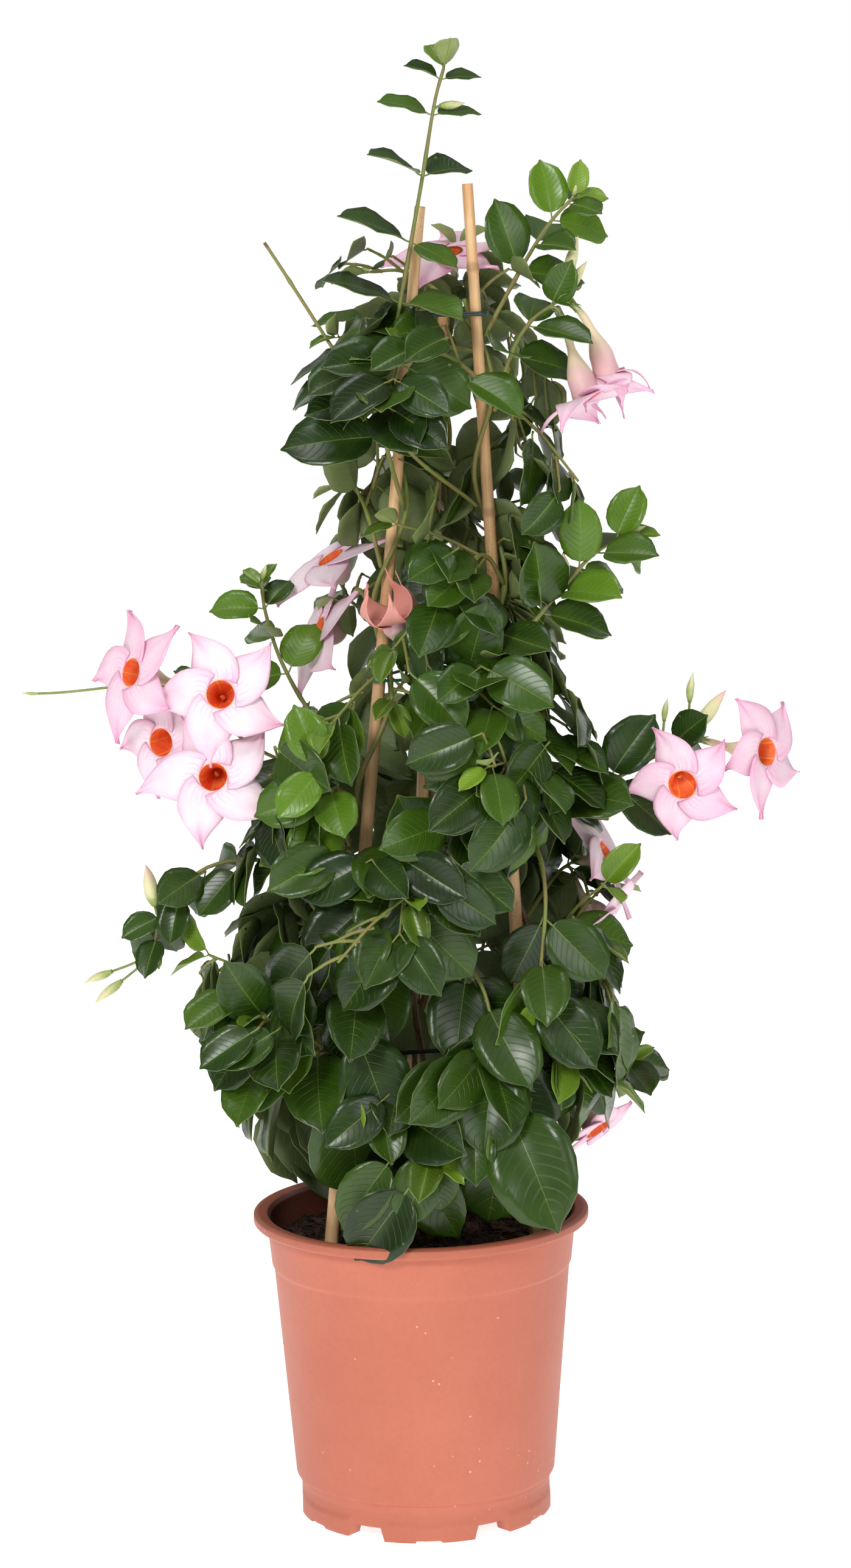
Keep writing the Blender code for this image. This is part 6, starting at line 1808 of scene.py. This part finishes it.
def petalSkin():
    # Near-white lobes, pink towards the rims, with rose streaks where they leave the throat
    material, tree, shader, solid = newMaterial("petal", 0.55, Sheen_Weight=0.10, Sheen_Roughness=0.4)
    place = placeOf(tree)
    lines = useGroup(tree, veins, {"Place": place, "Count": 6.0, "Slant": 4.5})
    across, along = lines.outputs["Across"], lines.outputs["Along"]
    blush = shadeOf(tree)
    cloud = compute(tree, "SUBTRACT", noise(tree, solid, 55.0, 3.0), 0.5)
    rim = compute(tree, "MAXIMUM", ramp(tree, across, 0.45, 1.40), ramp(tree, along, 0.35, 1.10))
    share = compute(tree, "ADD", times(tree, rim, 0.75), times(tree, cloud, 0.8))
    share = compute(tree, "ADD", share, times(tree, blush, 0.55))
    base = blendColours(tree, share, rgb(0.915, 0.765, 0.825), rgb(0.870, 0.400, 0.600))
    base = blendColours(tree, ramp(tree, blush, 1.2, 1.5), base, rgb(0.780, 0.330, 0.270))
    drawn = addNode(tree, "ShaderNodeMapping", {"Vector": place, "Scale": (7.0, 0.8, 1.0)}).outputs[0]
    near = times(tree, ramp(tree, along, 0.34, 0.0), ramp(tree, noise(tree, drawn, 1.6), 0.40, 0.66))
    streaked = blendColours(tree, times(tree, near, 0.50), base, rgb(0.760, 0.130, 0.380))
    edge = times(tree, ramp(tree, along, 0.10, 0.0), ramp(tree, across, 0.45, 1.0))
    deep = blendColours(tree, times(tree, edge, 0.45), streaked, rgb(0.740, 0.090, 0.300))
    veinShare = times(tree, lines.outputs["Vein"], 0.05)
    paint(tree, shader, blendColours(tree, veinShare, deep, rgb(0.740, 0.330, 0.480)))
    bumpFrom(tree, shader, lines.outputs["Vein"], 0.00015, 0.3)
    return material


def throatSkin():
    # Orange-red inside and lighter along five lines, with painted shade that darkens it further into the tube
    material, tree, shader, solid = newMaterial("throat", 0.50)
    parts = addNode(tree, "ShaderNodeSeparateXYZ", {0: placeOf(tree)})
    lines = compute(tree, "COSINE", times(tree, parts.outputs[0], 5 * math.tau))
    cloud = inPatches(tree, solid, 160.0, 900.0, 0.08, rgb(0.950, 0.140, 0.035), rgb(0.960, 0.260, 0.080))
    glow = times(tree, ramp(tree, lines, 0.86, 1.0), 0.70)
    lit = blendColours(tree, glow, cloud.outputs[0], rgb(0.960, 0.520, 0.140))
    # Darker red further into the tube: painted shade of the throat's depth
    deep = times(tree, ramp(tree, parts.outputs[1], 0.35, 1.0), 0.20)
    paint(tree, shader, blendColours(tree, deep, lit, rgb(0.800, 0.070, 0.020)))
    bumpFrom(tree, shader, ramp(tree, lines, 0.7, 1.0), 0.0003, 0.5)
    return material


def tubeSkin():
    # Green at the calyx, cream along the tube, and pink where it widens
    material, tree, shader, solid = newMaterial("flower tube", 0.50)
    along = shadeOf(tree)
    cloud = noise(tree, solid, 130.0, 3.0)
    run = compute(tree, "ADD", along, times(tree, compute(tree, "SUBTRACT", cloud, 0.5), 0.25))
    cream, pink = ramp(tree, run, 0.02, 0.22), ramp(tree, run, 0.45, 0.85)
    lower = blendColours(tree, cream, rgb(0.330, 0.400, 0.110), rgb(0.780, 0.640, 0.420))
    upper = blendColours(tree, pink, lower, rgb(0.840, 0.520, 0.530))
    paint(tree, shader, upper)
    bumpFrom(tree, shader, cloud, 0.0003, 0.4)
    return material


def curvedPath(start, startWay, end, endWay, steps):
    # A cubic curve that leaves its start along startWay and meets its end along endWay
    t = np.linspace(0.0, 1.0, steps)[:, None]
    start, startWay, endWay, end = (np.array(value, float) for value in (start, startWay, endWay, end))
    first, second = start + startWay, end - endWay
    return (1 - t) ** 3 * start + 3 * t * (1 - t) ** 2 * first + 3 * t * t * (1 - t) * second + t ** 3 * end


def runOf(path):
    # How far along a path each of its points is
    return np.concatenate([[0.0], np.cumsum(np.linalg.norm(np.diff(path, axis=0), axis=1))])


def pathBetween(path, start, end, steps):
    # Evenly spaced points of a path, from one distance along it to another
    at = np.linspace(start, end, steps)
    run = runOf(path)
    return np.stack([np.interp(at, run, path[:, axis]) for axis in range(3)], axis=-1)


def addSepals(surfaces, spine, length, radius, thickness):
    rows = sepalRows(spine[0], spine[2] - spine[0], length, radius)
    points, upper, under, edge = thinBodies(rows, thickness)
    surfaces.add(points, [upper, under, edge], shade=0.0)


def makePetals(blooms):
    points, place = lobeRows(blooms)
    skins, upper, under, edge = thinBodies(points, bloomShape["thickness"])
    blush = np.array([bloomKinds[bloom["kind"]]["blush"] for bloom in blooms])
    each = 5 * 2 * bloomShape["rows"] * bloomShape["columns"]
    petals = Surfaces()
    petals.add(skins, [upper, under, edge], np.stack([place, place], axis=1), np.repeat(blush, each))
    petals.piece("petals", [petalSkin()], "foliage")


def addThroat(surfaces, hollow, faceSets, place, rim):
    # The tube's inner skin, and the mouth: a ring of faces from the outside to that skin
    sides = bloomShape["sides"]
    inward = place.copy()
    inward[..., 1] = 1.0 - inward[..., 1]
    surfaces.add(hollow, [faceSets[0][:, ::-1], faceSets[1][:, ::-1]], inward)
    ring = np.arange(sides)
    after = (ring + 1) % sides
    mouth = np.stack([ring, after, after + sides, ring + sides], axis=-1)
    surfaces.add(np.concatenate([rim, hollow[0, -1]]), [mouth])


def addFlower(bloom, facing, outsides, insides, stems):
    shape = bloomShape
    kind = bloomKinds[bloom["kind"]]
    size = bloom["radius"] * kind["size"]
    mouth = min(shape["throat"], 0.30 * size) * 1.02
    throat, root = np.array(bloom["throat"], float), np.array(bloom["root"], float)
    length = float(np.linalg.norm(throat - root))
    path = curvedPath(root, np.array(bloom["way"]) * 0.25 * length, throat - facing * 0.0004,
                      facing * 0.65 * length, shape["pathSteps"])
    whole = runOf(path)[-1]
    start = whole - min(shape["tubeLength"] * kind["tube"] * size / 0.045, 0.82 * whole)
    spine = pathBetween(path, start, whole, shape["tubeSteps"])
    s = np.linspace(0.0, 1.0, shape["tubeSteps"])
    # Radius: narrow for two fifths, then a bell that opens to the mouth
    foot, neck = shape["tubeRadii"]
    radius = mix(foot, neck, smoothStep(s / 0.3)) + (mouth * 0.92 - neck) * smoothStep((s - 0.38) / 0.42)
    radius = radius + mouth * 0.10 * smoothStep((s - 0.85) / 0.15)
    outside, faceSets, _ = tubes(spine[None], radius[None], shape["sides"])
    outsides.add(outside, faceSets[:2], shade=np.repeat(s, shape["sides"]))
    inner = np.maximum(radius - shape["tubeSkin"], 0.0007)
    deep = s > 0.42
    addThroat(insides, *tubes(spine[None, deep], inner[None, deep], shape["sides"]), outside[0, -1])
    # The cone of anthers, then the stalk and the calyx below the tube
    core = spine[int(0.55 * shape["tubeSteps"])]
    cone = core[None] + facing[None] * np.linspace(0.0, shape["coneLength"], shape["coneSteps"])[:, None]
    coneRadius = np.linspace(*shape["coneRadii"], shape["coneSteps"])
    stems.add(*tubes(cone[None], coneRadius[None], shape["stalkSides"]), 0.55)
    stalk = pathBetween(path, 0.0, start + 0.002, shape["stalkSteps"])
    share = np.linspace(0, 1, shape["stalkSteps"])
    stalkRadius = 0.0011 + 0.0012 * smoothStep((share - 0.75) / 0.25)
    stems.add(*tubes(stalk[None], stalkRadius[None], shape["stalkSides"])[:2], shade=0.0)
    addSepals(stems, spine, flowerCalyx["length"], flowerCalyx["radius"], flowerCalyx["thickness"])


def makeFlowers(blooms):
    makePetals(blooms)
    outsides, insides, stems = Surfaces(), Surfaces(), Surfaces()
    for bloom, facing in zip(blooms, bloomFrames(blooms)[0]):
        addFlower(bloom, facing, outsides, insides, stems)
    outsides.piece("flowerTubes", [tubeSkin()], "foliage")
    insides.piece("throats", [throatSkin()], "foliage")
    stems.piece("flowerStalks", [stalkSkin()], "vine")


def sepalRows(start, way, length, radius):
    # Five pointed sepals round a tube's foot: half width = 1.3 mm * (1 - v)^0.6, standing off it by v^2
    way = unit(np.array(way, float))
    side = unit(np.cross(way, np.array([0.3, 0.5, 0.81])))
    other = np.cross(way, side)
    v = np.linspace(0.0, 1.0, 6)[None, :, None]
    u = np.linspace(-1.0, 1.0, 3)[None, None, :]
    turn = math.tau * np.arange(5)[:, None, None] / 5
    outward = side * np.cos(turn)[..., None] + other * np.sin(turn)[..., None]
    sideways = -side * np.sin(turn)[..., None] + other * np.cos(turn)[..., None]
    half = np.maximum(0.0013 * (1 - v) ** 0.6, 0.00012)
    reach = radius + 0.0003 + 0.0012 * v ** 2 - 0.0003 * u ** 2
    return (np.array(start, float) + outward * reach[..., None] + sideways * (u * half)[..., None]
            + way * (length * v)[..., None])


def stalkSkin():
    # Green stalks, and cream where the shade says so
    material, tree, shader, solid = newMaterial("flower stalk", 0.45)
    tint = inPatches(tree, solid, 120.0, 900.0, 0.10, rgb(0.190, 0.270, 0.055), rgb(0.270, 0.300, 0.085))
    cream = ramp(tree, shadeOf(tree), 0.3, 0.5)
    paint(tree, shader, blendColours(tree, cream, tint.outputs[0], rgb(0.850, 0.480, 0.160)))
    bumpFrom(tree, shader, noise(tree, solid, 900.0), 0.00008)
    return material


# Buds: twisted spindles, green at the foot and cream to pink at the point

budShape = {"steps": 22, "sides": 14, "pathSteps": 80, "slimness": 7.5, "shortest": 0.012, "twist": 0.10,
            "stalkRadii": (0.0010, 0.0009), "stalkSteps": 14, "stalkSides": 8, "bareUnder": 0.002}
budCalyx = {"length": 0.0055, "thickness": 0.0003}


def makeBuds(buds):
    # Radius = size * sin(pi * (0.06 + 0.93 * s)^0.80)^0.95 * (1 + 0.10 * cos(3 * turn + 5 * s)), on a stalk
    spindles, stalks = Surfaces(), Surfaces()
    shape = budShape
    s = np.linspace(0.0, 1.0, shape["steps"])
    turn = np.linspace(0.0, math.tau, shape["sides"], endpoint=False)
    twist = 1.0 + shape["twist"] * np.cos(3 * turn[None, :] + 5.0 * s[:, None])
    for bud in buds:
        size = bud["radius"]
        root, tip = np.array(bud["root"], float), np.array(bud["tip"], float)
        length = float(np.linalg.norm(tip - root))
        path = curvedPath(root, np.array(bud["way"]) * 0.3 * length, tip, (tip - root) * 0.4,
                          shape["pathSteps"])
        whole = runOf(path)[-1]
        start = whole - min(whole * 0.72, max(shape["slimness"] * size, shape["shortest"]))
        spine = pathBetween(path, start, whole, shape["steps"])
        radius = np.maximum(size * np.sin(math.pi * (0.06 + 0.93 * s) ** 0.80) ** 0.95, 0.00025)
        points, faceSets, place = tubes(spine[None], radius[None], shape["sides"], twist[None])
        blush = min(size / 0.005, 1.0)
        spindles.add(points, faceSets, place, np.repeat(s * blush, shape["sides"]))
        stalk = pathBetween(path, 0.0, start + 0.001, shape["stalkSteps"])
        stalkRadius = np.linspace(*shape["stalkRadii"], shape["stalkSteps"])
        stalks.add(*tubes(stalk[None], stalkRadius[None], shape["stalkSides"])[:2], shade=0.0)
        if size > shape["bareUnder"]:
            addSepals(stalks, spine, budCalyx["length"], radius[0], budCalyx["thickness"])
    spindles.piece("buds", [budSkin()], "foliage")
    stalks.piece("budStalks", [stalkSkin()], "vine")


def budSkin():
    material, tree, shader, solid = newMaterial("bud", 0.48)
    along = shadeOf(tree)
    cloud = noise(tree, solid, 200.0)
    run = compute(tree, "ADD", along, times(tree, compute(tree, "SUBTRACT", cloud, 0.5), 0.3))
    pale = blendColours(tree, ramp(tree, run, 0.05, 0.45), rgb(0.330, 0.420, 0.110), rgb(0.720, 0.690, 0.380))
    pink = blendColours(tree, ramp(tree, run, 0.55, 1.0), pale, rgb(0.780, 0.480, 0.390))
    paint(tree, shader, pink)
    bumpFrom(tree, shader, cloud, 0.0002, 0.4)
    return material


blooms, budsFound = [], []
for spray in grown:
    if spray.name not in sprays:
        continue
    for index, bloom in enumerate(spray.spec.get("flowers", ())):
        at = bloom["at"] - 0.02
        blooms.append(dict(bloom, root=pathAt(spray.stem, at), way=pathHeading(spray.stem, at),
                           kind=bloomLooks[spray.name][index]))
    for budSpec in spray.spec.get("buds", ()):
        at = budSpec["at"] - 0.02
        budsFound.append(dict(budSpec, root=pathAt(spray.stem, at), way=pathHeading(spray.stem, at)))
makeFlowers(blooms)
makeBuds(budsFound)
print("flowers and buds made:", len(blooms), len(budsFound))
